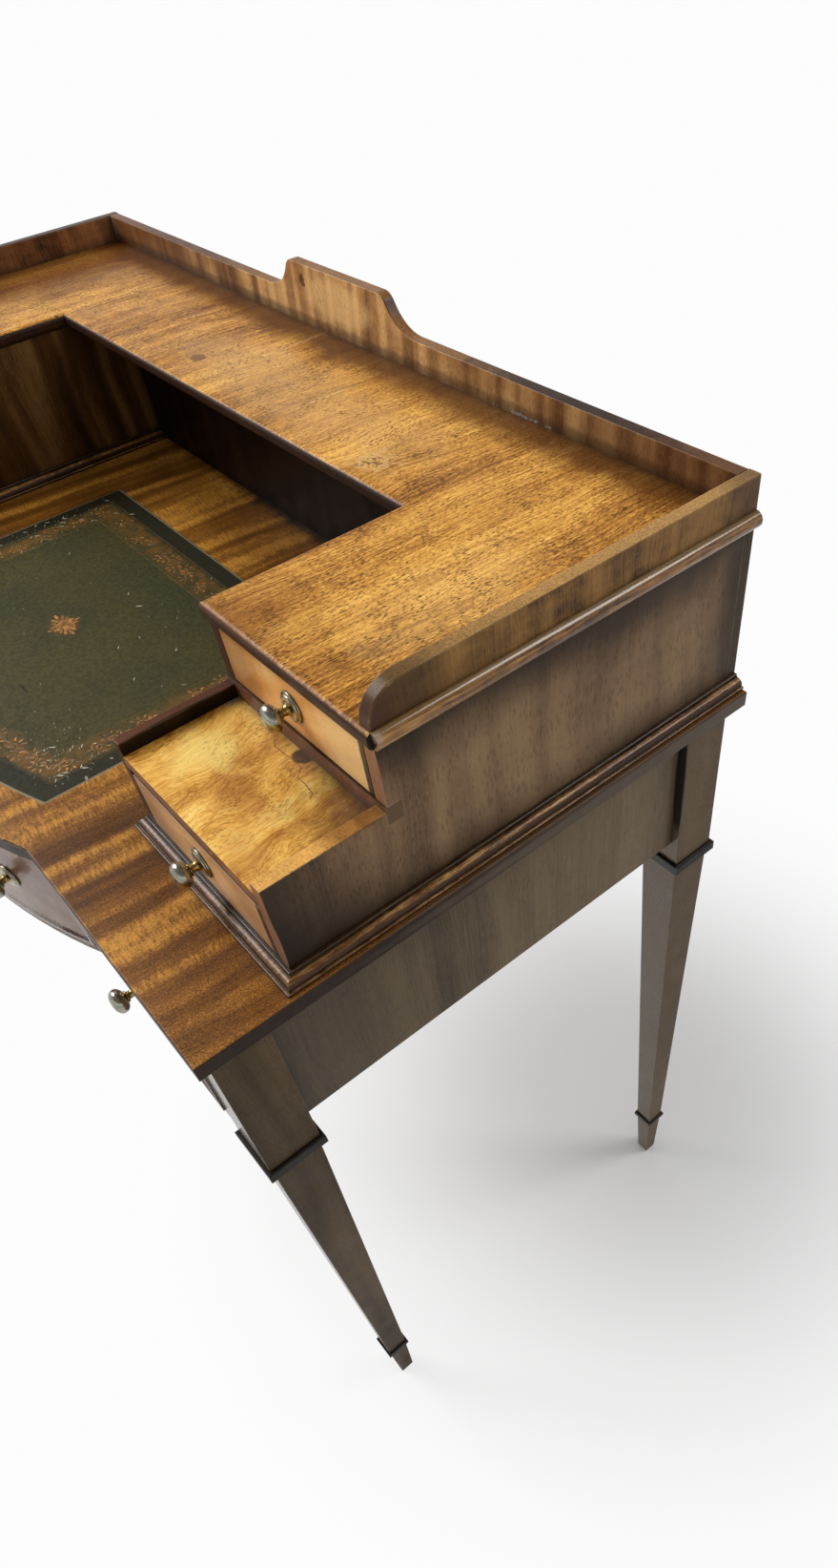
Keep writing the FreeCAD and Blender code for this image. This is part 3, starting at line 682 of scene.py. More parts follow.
        # Painted highlights: lighter where the bevelled normal bends away along an arris.
        round_over = add(tree, "Bevel", {"Radius": self.rub_highlight_mm * MM}, samples=2)
        normal = add(tree, "NewGeometry", out="True Normal")
        bend = add(tree, "VectorMath", {0: round_over, 1: normal}, out=1,
                   operation="DOT_PRODUCT")
        rubbed_highlight = add(tree, "MapRange", {0: bend, 1: 0.985, 2: 0.9, 3: 0.0, 4: self.rub_highlight})
        clear = add(tree, "MapRange", {0: corner_occlusion, 1: 0.75, 2: 0.95})
        patchy = patches(tree, here, 14.0, 4.0, (0.35, 0.6), (0.3, 1.0))
        rubbed_highlight = add(tree, "Math", {0: rubbed_highlight, 1: clear}, operation="MULTIPLY")
        rubbed_highlight = add(tree, "Math", {0: rubbed_highlight, 1: patchy}, operation="MULTIPLY")
        return add(tree, "Mix", {0: rubbed_highlight, 6: colour, 7: linear(self.rubbed)}, out=2,
                   data_type="RGBA")


@dataclass(frozen=True)
class PlainTimber:
    """Unpolished secondary wood, planed and left bare: straight fine grain, no shine."""

    name: str = "bare_drawer_lining"
    grain: Grain = Grain.FRONT_TO_BACK
    dark: str = "#6b4a2b"
    light: str = "#a98255"
    fibre_tone: str = "#3c2614"
    ring_mm: Pair = (220.0, 7.0)
    fibre_mm: Pair = (12.0, 0.8)
    roughness: float = 0.62

    def build(self) -> bpy.types.Material:
        """Make the material.

        Returns:
            The finished material.
        """
        material, tree, here = new_material(self.name)
        along = add(tree, "Mapping", {"Vector": here, "Rotation": self.grain.value,
                                      "Scale": (1 / MM,) * 3})
        rings = streaks(tree, along, self.ring_mm, 4.0)
        fibre = streaks(tree, along, self.fibre_mm, 2.0)
        colour = add(tree, "ValToRGB", {0: rings}, stops=((0.35, self.dark), (0.65, self.light)))
        colour = lay(tree, colour, self.fibre_tone, fibre, (0.35, 0.5), (0.35, 0.0))
        bump = add(tree, "Bump", {"Height": fibre, "Strength": 0.3, "Distance": 0.2 * MM})
        surface = add(tree, "BsdfPrincipled",
                      {"Base Color": colour, "Roughness": self.roughness, "Normal": bump})
        add(tree, "OutputMaterial", {"Surface": surface})
        return material


@dataclass(frozen=True)
class AgedBrass:
    """Turned brass, once lacquered: bright in the hollows of the stem and grey-green where hands
    and air have dulled the ball, with fine turning rings and soft, broad highlights."""

    name: str = "aged_turned_brass"
    bright: str = "#b89c5c"
    dull: str = "#aaa898"
    dark: str = "#66645a"
    dirt: str = "#1c1710"
    plate_mm: Pair = (2.6, 4.0)
    ball_mm: Pair = (9.0, 12.0)
    roughness: float = 0.18

    def build(self) -> bpy.types.Material:
        """Make the material. It reads the attribute "height", the distance along the knob.

        Returns:
            The finished material.
        """
        material, tree, here = new_material(self.name)
        height = add(tree, "Attribute", out="Fac", attribute_name="height")
        wear = add(tree, "TexNoise", {"Vector": here, "Scale": 1 / (5 * MM), "Detail": 5.0})
        plate_top, stem_start = self.plate_mm
        stem_end, ball_start = self.ball_mm
        worn = add(tree, "MapRange", {0: height, 1: stem_end, 2: ball_start, 3: 0.0, 4: 1.0})
        plate = add(tree, "MapRange", {0: height, 1: plate_top, 2: stem_start, 3: 0.85, 4: 0.0})
        worn = add(tree, "Math", {0: worn, 1: plate}, operation="MAXIMUM")
        metal = add(tree, "Mix", {0: worn, 6: linear(self.bright), 7: linear(self.dull)}, out=2,
                    data_type="RGBA")
        colour = lay(tree, metal, self.dark, wear, (0.45, 0.75), (0.0, 0.6))
        hollow = add(tree, "AmbientOcclusion", {"Distance": 3 * MM}, out="AO", samples=4)
        colour = lay(tree, colour, self.dirt, hollow, (0.3, 0.9), (0.7, 0.0))
        rough = add(tree, "MapRange", {0: wear, 1: 0.3, 2: 0.7, 3: self.roughness - 0.08,
                                       4: self.roughness + 0.16})
        surface = add(tree, "BsdfPrincipled",
                      {"Base Color": colour, "Metallic": 1.0, "Roughness": rough})
        add(tree, "OutputMaterial", {"Surface": surface})
        return material


@dataclass(frozen=True)
class WritingLeather:
    """Skiver: thin split sheepskin, dyed olive green and waxed, with a fine close grain.

    The dye has worn to a warmer brown in the tooled border, the outer margin is darker, and
    small scuffs show the pale hide. A pale line along the very edge is a painted highlight.
    """

    name: str = "olive_green_skiver"
    field_tone: str = "#4c4520"
    cool_tone: str = "#404022"
    margin_tone: str = "#201e12"
    worn_tone: str = "#6e4c20"
    scuff_tone: str = "#d4cfb8"
    scratch_tone: str = "#15140c"
    rim_highlight_tone: str = "#a09272"
    band_mm: Pair = (19.0, 46.0)
    level_mm: float = 750.0
    open_mm: float = 900.0
    pebble_mm: float = 1.6
    rose_mm: tuple[float, float, float, float] = (-7.0, -77.0, 21.0, 17.0)
    rubbed_mm: tuple[tuple[float, float, float, float], ...] = (
        (165.0, -152.0, 62.0, 34.0), (-178.0, -12.0, 34.0, 84.0))
    scratch_mm: tuple[float, float, float, float] = (56.6, -141.2, 11.0, 1.3)
    # turn, length in mm, and the draws above which a scuff shows, outside and inside a patch
    scuffs: tuple[tuple[float, float, float, float], ...] = (
        (-0.85, 17.0, 0.99, 0.74), (0.64, 12.0, 0.99, 0.64), (0.3, 6.0, 0.995, 0.7))

    def build(self, outline: "LeatherOutline") -> bpy.types.Material:
        """Make the material.

        Args:
            outline: the leather's outline, which the border follows.

        Returns:
            The finished material.
        """
        material, tree, here = new_material(self.name)
        rim = outline.rim_distance(tree, here)
        cloud = patches(tree, here, 70.0, 4.0, (0.38, 0.62))
        colour = add(tree, "Mix", {0: cloud, 6: linear(self.field_tone),
                                   7: linear(self.cool_tone)}, out=2, data_type="RGBA")
        grit = add(tree, "TexNoise", {"Vector": here, "Scale": 1 / (3.5 * MM), "Detail": 4.0})
        colour = lay(tree, colour, self.margin_tone, grit, (0.35, 0.65), (0.0, 0.5))
        start, end = self.band_mm
        colour = lay(tree, colour, self.margin_tone, rim, (start - 2, start + 3), (0.8, 0.0))
        worn = self._worn(tree, here, rim)
        colour = add(tree, "Mix", {0: worn, 6: colour, 7: linear(self.worn_tone)}, out=2,
                     data_type="RGBA")
        colour = self._scuffs_and_rim_highlight(tree, here, rim, colour)
        scratch = self._spot(tree, here, self.scratch_mm)
        colour = lay(tree, colour, self.scratch_tone, scratch, (0.6, 1.0), (0.8, 0.0))
        cells = add(tree, "TexVoronoi", {"Vector": here, "Scale": 1 / (self.pebble_mm * MM)},
                    feature="DISTANCE_TO_EDGE")
        pebble = add(tree, "MapRange", {0: cells, 1: 0.0, 2: 0.25})
        bump = add(tree, "Bump", {"Height": pebble, "Strength": 0.4, "Distance": 0.15 * MM})
        rough = add(tree, "MapRange", {0: grit, 1: 0.3, 2: 0.7, 3: 0.45, 4: 0.62})
        surface = add(tree, "BsdfPrincipled",
                      {"Base Color": colour, "Roughness": rough, "Normal": bump, "IOR": 1.48,
                       "Specular IOR Level": 0.12})
        add(tree, "OutputMaterial", {"Surface": surface})
        return material

    def _worn(self, tree: Tree, here: Any, rim: Any) -> Any:
        """Where the dye has worn brown: along the tooled border and round the rose.

        Args:
            tree: the material's tree.
            here: the place on the surface, in metres.
            rim: distance from the leather's edge, in millimetres.

        Returns:
            How strongly the dye has worn.
        """
        start, end = self.band_mm
        drift = add(tree, "TexNoise", {"Vector": here, "Scale": 1 / (18 * MM), "Detail": 3.0})
        depth = add(tree, "Math", {0: drift, 1: 14.0, 2: rim}, operation="MULTIPLY_ADD")
        inner = add(tree, "MapRange", {0: depth, 1: start + 5, 2: start + 11})
        outer = add(tree, "MapRange", {0: depth, 1: end - 4, 2: end + 8, 3: 1.0, 4: 0.0})
        worn = add(tree, "Math", {0: inner, 1: outer}, operation="MULTIPLY")
        rose = self._spot(tree, here, self.rose_mm)
        rose = add(tree, "MapRange", {0: rose, 1: 0.5, 2: 1.0, 3: 0.9, 4: 0.0})
        worn = add(tree, "Math", {0: worn, 1: rose}, operation="MAXIMUM")
        patch = add(tree, "TexNoise", {"Vector": here, "Scale": 1 / (13 * MM), "Detail": 6.0,
                                       "Roughness": 0.7})
        patch = add(tree, "MapRange", {0: patch, 1: 0.42, 2: 0.58, 3: 0.1, 4: 0.9})
        return add(tree, "Math", {0: worn, 1: patch}, operation="MULTIPLY")

    def _spot(self, tree: Tree, here: Any, spot_mm: Sequence[float]) -> Any:
        """Distance from the middle of a spot on the leather, 1 at its rim.

        Args:
            tree: the material's tree.
            here: the place on the surface, in metres.
            spot_mm: X and Y of the middle, half width and half depth.

        Returns:
            The distance.
        """
        x, y, wide, deep = spot_mm
        half = (wide, deep, self.open_mm)
        spot = add(tree, "Mapping",
                   {"Vector": here, "Scale": [1 / (h * MM) for h in half],
                    "Location": [-c / h for c, h in zip((x, y, self.level_mm), half)]})
        return add(tree, "VectorMath", {0: spot}, out=1, operation="LENGTH")

    def _scuffs_and_rim_highlight(self, tree: Tree, here: Any, rim: Any, colour: Any) -> Any:
        """Small pale scratches, few in the field and many in patches of the border.

        Args:
            tree: the material's tree.
            here: the place on the surface, in metres.
            rim: distance from the leather's edge, in millimetres.
            colour: the colour so far.

        Returns:
            The scuffed colour, with a painted highlight along the leather's edge.
        """
        rate: Any = 0.0
        for spot_mm in self.rubbed_mm:
            near = self._spot(tree, here, spot_mm)
            near = add(tree, "MapRange", {0: near, 1: 0.5, 2: 1.0, 3: 1.0, 4: 0.0})
            rate = add(tree, "Math", {0: rate, 1: near}, operation="MAXIMUM")
        for turn, length, few, many in self.scuffs:
            turned = add(tree, "Mapping", {"Vector": here, "Rotation": (0.0, 0.0, turn)})
            cells = add(tree, "Mapping",
                        {"Vector": turned, "Scale": (1 / (length * MM),
                                                     1 / (length * 0.2 * MM), 0.0)})
            spot = add(tree, "TexVoronoi", {"Vector": cells, "Scale": 1.0})
            draw = add(tree, "SeparateXYZ", {0: spot.node.outputs["Color"]})
            level = add(tree, "MapRange", {0: rate, 3: few, 4: many})
            drawn = add(tree, "Math", {0: draw, 1: level}, operation="GREATER_THAN")
            cover = add(tree, "MapRange", {0: spot, 1: 0.1, 2: 0.22, 3: 0.85, 4: 0.0})
            cover = add(tree, "Math", {0: cover, 1: drawn}, operation="MULTIPLY")
            colour = add(tree, "Mix", {0: cover, 6: colour, 7: linear(self.scuff_tone)}, out=2,
                         data_type="RGBA")
        # A painted highlight: a pale line along the leather's edge.
        return lay(tree, colour, self.rim_highlight_tone, rim, (0.9, 2.0), (0.75, 0.0))


@dataclass(frozen=True)
class GoldLeaf:
    """Gold leaf pressed into the leather with hot tools, dulled to ochre and rubbed away."""

    name: str = "worn_gold_tooling"
    gold: str = "#c07c30"
    worn: str = "#453a1a"

    def build(self) -> bpy.types.Material:
        """Make the material.

        Returns:
            The finished material.
        """
        material, tree, here = new_material(self.name)
        rubbed = add(tree, "TexNoise", {"Vector": here, "Scale": 1 / (4 * MM), "Detail": 5.0,
                                        "Roughness": 0.7})
        kept = add(tree, "MapRange", {0: rubbed, 1: 0.42, 2: 0.6})
        colour = add(tree, "Mix", {0: kept, 6: linear(self.worn), 7: linear(self.gold)}, out=2,
                     data_type="RGBA")
        metal = add(tree, "MapRange", {0: kept, 3: 0.0, 4: 0.2})
        surface = add(tree, "BsdfPrincipled",
                      {"Base Color": colour, "Metallic": metal, "Roughness": 0.45})
        add(tree, "OutputMaterial", {"Surface": surface})
        return material


@dataclass(frozen=True)
class SplitVeneer:
    """The open edge of a split in veneer: a dark line of old polish and dust."""

    name: str = "split_veneer_edge"
    dark: str = "#5a3210"
    dusty: str = "#9a6420"

    def build(self) -> bpy.types.Material:
        """Make the material.

        Returns:
            The finished material.
        """
        material, tree, here = new_material(self.name)
        dust = add(tree, "TexNoise", {"Vector": here, "Scale": 1 / (5 * MM)})
        colour = add(tree, "ValToRGB", {0: dust}, stops=((0.4, self.dark), (0.65, self.dusty)))
        surface = add(tree, "BsdfPrincipled", {"Base Color": colour, "Roughness": 0.6})
        add(tree, "OutputMaterial", {"Surface": surface})
        return material


# ---------------------------------------------------------------- writing leather
@dataclass(frozen=True)
class LeatherOutline:
    """The leather's outline: straight sides and back, and a front that follows the bow."""

    half_width: float
    front: float
    back: float
    bow_radius: float
    bow_centre: float
    level: float

    def front_at(self, x: float, inset: float) -> float:
        """The front edge's Y at a place along the desk, for an outline drawn in by inset."""
        return self.bow_centre - math.sqrt((self.bow_radius - inset) ** 2 - x ** 2)

    def loop(self, inset: float, step: float) -> list[Vector]:
        """Corners and bow of the outline drawn in by inset, walked round once.

        Args:
            inset: how far inside the leather's edge.
            step: spacing of the points along the bow.

        Returns:
            Points on the leather's surface.
        """
        x = self.half_width - inset
        count = max(8, round(2 * x / step))
        bow = [-x + 2 * x * i / count for i in range(count + 1)]
        points = [Vector((u, self.front_at(u, inset), self.level)) for u in bow]
        y = self.back - inset
        points += [Vector((x, y, self.level)), Vector((-x, y, self.level))]
        return points

    def rim_distance(self, tree: Tree, here: Any) -> Any:
        """Shader nodes for the distance from the leather's edge.

        Args:
            tree: the leather's tree.
            here: the place on the surface, in metres.

        Returns:
            The distance, in millimetres.
        """
        parts = add(tree, "SeparateXYZ", {0: here})
        x, y = parts.node.outputs[0], parts.node.outputs[1]
        side = add(tree, "Math", {0: x}, operation="ABSOLUTE")
        side = add(tree, "Math", {0: self.half_width, 1: side}, operation="SUBTRACT")
        back = add(tree, "Math", {0: self.back, 1: y}, operation="SUBTRACT")
        flat = add(tree, "VectorMath",
                   {0: here, 1: (1.0, 1.0, 0.0), 2: (0.0, -self.bow_centre, 0.0)},
                   operation="MULTIPLY_ADD")
        bow = add(tree, "VectorMath", {0: flat}, out=1, operation="LENGTH")
        bow = add(tree, "Math", {0: self.bow_radius, 1: bow}, operation="SUBTRACT")
        near = add(tree, "Math", {0: side, 1: back}, operation="MINIMUM")
        near = add(tree, "Math", {0: near, 1: bow}, operation="MINIMUM")
        return add(tree, "Math", {0: near, 1: 1 / MM}, operation="MULTIPLY")


@dataclass
class LeatherPanel:
    """The leather and the gold tooling along its border and at its middle.

    Each leaf of a stamp is given as the direction it points in and how far out its middle
    lies, as a multiple of its length.
    """

    bow_radius: float = 0.57384
    bow_centre: float = 0.35004
    flat: Pair = (0.4066, 0.2976)
    flat_area: float = 0.116
    cell: float = 0.003
    thickness: float = 0.0011
    edge_round: float = 0.0007
    fillet_lines: tuple[float, ...] = (0.0175, 0.0455)
    line_depth: float = 0.00016
    line_width: float = 0.0011
    path_step: float = 0.004
    gilt_width: float = 0.0007
    gilt_rise: float = 0.00003
    foil: float = 0.00002
    roll_inset: float = 0.0315
    roll_pitch: float = 0.0125
    scroll: float = 0.0058
    scroll_start: float = 0.001
    scroll_turns: float = 1.15
    stroke: float = 0.0009
    leaf: float = 0.0048
    scroll_leaves: tuple[Pair, ...] = ((0.35, 1.75), (1.0, 1.9), (1.6, 1.8), (2.25, 1.9),
                                       (2.9, 1.75), (0.7, 0.0))
    worn_from: float = -0.15
    worn_to: float = 0.02
    kept_at_front: float = 0.95
    kept_at_back: float = 0.45
    seed: int = 7
    rose: Pair = (-0.007, -0.077)
    rose_arms: tuple[Pair, ...] = ((1.0, 0.0), (0.0, 0.8), (-1.0, 0.0), (0.0, -0.8),
                                   (0.5, 0.4), (-0.5, 0.4), (-0.5, -0.4), (0.5, -0.4))
    rose_reach: Pair = (0.003, 0.002)
    rose_leaf: float = 0.0095
    rose_leaves: tuple[Pair, ...] = ((0.0, 0.4), (0.4, 0.95), (-0.4, 0.95), (0.0, 1.4))
    stamp_step: float = 0.000007

    def outline(self) -> LeatherOutline:
        """Read the leather's outline from the frame."""
        low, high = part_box("leather_skiver")
        return LeatherOutline(high.x, low.y, high.y, self.bow_radius, self.bow_centre, high.z)

    def build(self) -> list[bpy.types.Object]:
        """Make the leather and its tooling.

        Returns:
            The pieces.
        """
        outline = self.outline()
        leather = new_piece("writing_leather", self._sheet(outline))
        leather.data.materials.append(WritingLeather().build(outline))
        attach(leather, "desk")
        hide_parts("leather_skiver")
        gold = GoldLeaf().build()
        path = path_mesh(outline.loop(self.roll_inset, self.path_step), closed=True)
        gilding = [grow("gilt_scroll_border", path, self._scroll_tree(),
                        {"Pitch": self.roll_pitch, "Rise": self.gilt_rise,
                         "Scroll": self.scroll, "Stroke": self.stroke, "Leaf": self.leaf,
                         "Kept at Front": self.kept_at_front,
                         "Kept at Back": self.kept_at_back, "Seed": self.seed,
                         "Material": gold})]
        for index, inset in enumerate(self.fillet_lines):
            name = f"gilt_line_{index + 1}"
            path = path_mesh(outline.loop(inset, self.path_step), closed=True)
            gilding.append(grow(name, path, line_tree(name),
                                {"Width": self.gilt_width,
                                 "Rise": self.gilt_rise - self.line_depth, "Material": gold}))
        gilding.append(self._rose(outline, gold))
        for piece in gilding:
            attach(piece, "desk")
        return [leather, *gilding]

    def _sheet(self, outline: LeatherOutline) -> bpy.types.Mesh:
        """A closed thin sheet whose tooled lines are pressed in and whose edge is turned down.

        The front third of each column follows the bow and the back third the straight back.

        Args:
            outline: the leather's outline.

        Returns:
            The sheet's mesh.
        """
        full = outline.back - outline.front
        third = full / 3
        marks = sorted({0.0, self.edge_round, *self.fillet_lines}
                       | {line + s * self.line_width / 2 for line in self.fillet_lines
                          for s in (-1, 1)})
        columns = round(2 * outline.half_width / self.cell)
        across = self._stations(2 * outline.half_width, columns, marks)
        down = self._stations(full, round(full / self.cell), marks)
        shape = bmesh.new()
        grid = []
        for x in [a - outline.half_width for a in across]:
            front = outline.front_at(x, 0.0)
            column = []
            for v in down:
                y = front + v if v < third else outline.back - (full - v)
                if third <= v <= 2 * third:
                    t = (v - third) / third
                    y = front + third + t * (outline.back - third - front - third)
                rim = min(outline.half_width - abs(x), outline.back - y, y - front)
                column.append(shape.verts.new((x, y, outline.level - self._press(rim))))
            grid.append(column)
        for left, right in zip(grid, grid[1:]):
            for a, b, c, d in zip(left, right, right[1:], left[1:]):
                shape.faces.new((a, b, c, d))
        # the rim walked round once: along the front, up the right, along the back, down the left
        upper = [column[0] for column in grid] + grid[-1][1:]
        upper += [column[-1] for column in grid[-2::-1]] + grid[0][-2:0:-1]
        underside = outline.level - self.thickness
        lower = [shape.verts.new((v.co.x, v.co.y, underside)) for v in upper]
        for a, b, c, d in zip(upper, lower, lower[1:] + lower[:1], upper[1:] + upper[:1]):
            shape.faces.new((a, b, c, d))
        shape.faces.new(lower[::-1])
        mesh = bpy.data.meshes.new("writing_leather")
        shape.to_mesh(mesh)
        shape.free()
        return mesh

    def _stations(self, length: float, count: int, marks: Sequence[float]) -> list[float]:
        """Grid places along a length: even ones, and exact ones at the tooled lines.

        Args:
            length: the whole length.
            count: how many even cells it is cut into.
            marks: distances from either end that need a grid line.

        Returns:
            The places in order.
        """
        even = [length * i / count for i in range(count + 1)]
        exact = sorted({*marks, *(length - m for m in marks)})
        kept = [e for e in even if min(abs(e - x) for x in exact) > self.cell / 4]
        return sorted([*kept, *exact])

    def _press(self, rim: float) -> float:
        """How far the surface lies below the sheet's top.

        Args:
            rim: distance from the sheet's edge.

        Returns:
            The depth.
        """
        if rim <= 1e-7:
            return self.edge_round * 0.6
        if any(abs(rim - line) < 1e-6 for line in self.fillet_lines):
            return self.line_depth
        return 0.0

    def _leaves(self, tree: Tree, length: Any, leaves: Sequence[Pair]) -> list[Any]:
        """A stamp's leaves: narrow ovals lying flat, swung round the stamp's middle.

        Args:
            tree: the stamp's tree.
            length: the leaves' length.
            leaves: each leaf's direction and how far out it lies.

        Returns:
            The leaves' geometry, each a foil's thickness higher than the one before it.
        """
        made = []
        for level, (turn, out) in enumerate(leaves, 1):
            oval = add(tree, "GeometryNodeMeshCircle", {"Vertices": 8, "Radius": 0.5},
                       fill_type="NGON")
            size = add(tree, "VectorMath", {0: length, 1: (1.0, 0.34, 1.0)},
                       operation="MULTIPLY")
            place = add(tree, "VectorMath",
                        {0: length, 1: (math.cos(turn) * out, math.sin(turn) * out, 0.0),
                         2: (0.0, 0.0, self.foil * level)}, operation="MULTIPLY_ADD")
            made.append(add(tree, "GeometryNodeTransform",
                            {"Geometry": oval, "Scale": size, "Rotation": (0.0, 0.0, turn),
                             "Translation": place}))
        return made

    def _scroll_tree(self) -> Tree:
        """Geometry Nodes: scrolls and leaves that turn to either side of a path by turns, with
        some of them worn away, more at the back than at the front.

        Returns:
            The tree.
        """
        tree, given = new_tree(
            "gilt_scrolls", Pitch="Float", Rise="Float", Scroll="Float", Stroke="Float",
            Leaf="Float", Kept_at_Front="Float", Kept_at_Back="Float", Seed="Int",
            Material="Material")
        curve = add(tree, "GeometryNodeMeshToCurve", {"Mesh": given["Geometry"]})
        points = add(tree, "GeometryNodeCurveToPoints",
                     {"Curve": curve, "Length": given["Pitch"]}, mode="LENGTH")
        spin = add(tree, "FunctionNodeAlignRotationToVector",
                   {"Vector": points.node.outputs["Tangent"]}, axis="X", pivot_axis="Z")
        index = add(tree, "GeometryNodeInputIndex")
        odd = add(tree, "Math", {0: index, 1: 2.0}, operation="MODULO")
        half = add(tree, "Math", {0: odd, 1: math.pi}, operation="MULTIPLY")
        half = add(tree, "CombineXYZ", {"Z": half})
        half = add(tree, "FunctionNodeEulerToRotation", {0: half})
        spin = add(tree, "FunctionNodeRotateRotation", {0: spin, 1: half},
                   rotation_space="LOCAL")
        where = add(tree, "GeometryNodeInputPosition")
        where = add(tree, "SeparateXYZ", {0: where}, out="Y")
        share = add(tree, "MapRange", {0: where, 1: self.worn_from, 2: self.worn_to,
                                       3: given["Kept at Front"], 4: given["Kept at Back"]})
        kept = add(tree, "FunctionNodeRandomValue", {"Probability": share,
                                                     "Seed": given["Seed"]},
                   out=3, data_type="BOOLEAN")
        spiral = add(tree, "GeometryNodeCurveSpiral",
                     {"Resolution": 10, "Rotations": self.scroll_turns,
                      "Start Radius": self.scroll_start, "End Radius": given["Scroll"],
                      "Height": 0.0})
        spiral = add(tree, "GeometryNodeSetCurveNormal", {"Curve": spiral}, mode="Z_UP")
        stroke = add(tree, "GeometryNodeCurvePrimitiveQuadrilateral",
                     {"Width": given["Stroke"], "Height": self.foil})
        scroll = add(tree, "GeometryNodeCurveToMesh",
                     {"Curve": spiral, "Profile Curve": stroke, "Fill Caps": True})
        leaves = self._leaves(tree, given["Leaf"], self.scroll_leaves)
        stamp = add(tree, "GeometryNodeJoinGeometry", {0: [scroll, *leaves]})
        level = add(tree, "Math", {0: odd, 1: self.stamp_step, 2: given["Rise"]},
                    operation="MULTIPLY_ADD")
        lift = add(tree, "CombineXYZ", {"Z": level})
        spread = add(tree, "GeometryNodeInstanceOnPoints",
                     {"Points": points, "Selection": kept, "Instance": stamp,
                      "Rotation": spin})
        spread = add(tree, "GeometryNodeTranslateInstances",
                     {"Instances": spread, "Translation": lift, "Local Space": False})
        finish_tree(tree, spread, given["Material"])
        return tree

    def _rose(self, outline: LeatherOutline, gold: bpy.types.Material) -> bpy.types.Object:
        """The gilt rose in the middle of the leather: leaves pointing outwards all round.

        Args:
            outline: the leather's outline, for its level.
            gold: the gilding.

        Returns:
            The rose.
        """
        x, y = self.rose
        wide, deep = self.rose_reach
        start = new_spots([(x + u * wide, y + v * deep, outline.level)
                           for u, v in self.rose_arms],
                          [(u, v, 0.0) for u, v in self.rose_arms])
        tree, given = new_tree("gilt_rose", Rise="Float", Leaf="Float", Material="Material")
        leaves = self._leaves(tree, given["Leaf"], self.rose_leaves)
        stamp = add(tree, "GeometryNodeJoinGeometry", {0: leaves})
        points = add(tree, "GeometryNodeMeshToPoints", {"Mesh": given["Geometry"]})
        way = add(tree, "GeometryNodeInputNamedAttribute", {"Name": "aim"},
                  data_type="FLOAT_VECTOR")
        spin = add(tree, "FunctionNodeAlignRotationToVector", {"Vector": way}, axis="X",
                   pivot_axis="Z")
        index = add(tree, "GeometryNodeInputIndex")
        level = add(tree, "Math", {0: index, 1: self.stamp_step, 2: given["Rise"]},
                    operation="MULTIPLY_ADD")
        lift = add(tree, "CombineXYZ", {"Z": level})
        size = add(tree, "VectorMath", {0: way}, out=1, operation="LENGTH")
        spread = add(tree, "GeometryNodeInstanceOnPoints",
                     {"Points": points, "Instance": stamp, "Rotation": spin, "Scale": size})
        spread = add(tree, "GeometryNodeTranslateInstances",
                     {"Instances": spread, "Translation": lift, "Local Space": False})
        finish_tree(tree, spread, given["Material"])
        return grow("gilt_rose", start, tree, {"Rise": self.gilt_rise, "Leaf": self.rose_leaf,
                                               "Material": gold})


@dataclass
class TraySplit:
    """A fine split in the right tray's veneer."""

    route_mm: tuple[Pair, ...] = (
        (349.5, -58.0), (355.2, -61.5), (368.5, -61.2), (375.9, -60.2), (385.5, -60.7),
        (391.3, -67.3), (399.9, -67.2), (410.5, -68.6), (413.4, -72.6))
    width: float = 0.0006
    rise: float = 0.00002

    def build(self) -> bpy.types.Object:
        """Lay the split on the tray.

        Returns:
            The split.
        """
        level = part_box("tray_board_right")[1].z
        path = path_mesh([Vector((x * MM, y * MM, level)) for x, y in self.route_mm],
                         closed=False)
        split = grow("tray_veneer_split", path, line_tree("veneer_split"),
                     {"Width": self.width, "Rise": self.rise, "Material": SplitVeneer().build()})
        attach(split, "desk")
        return split


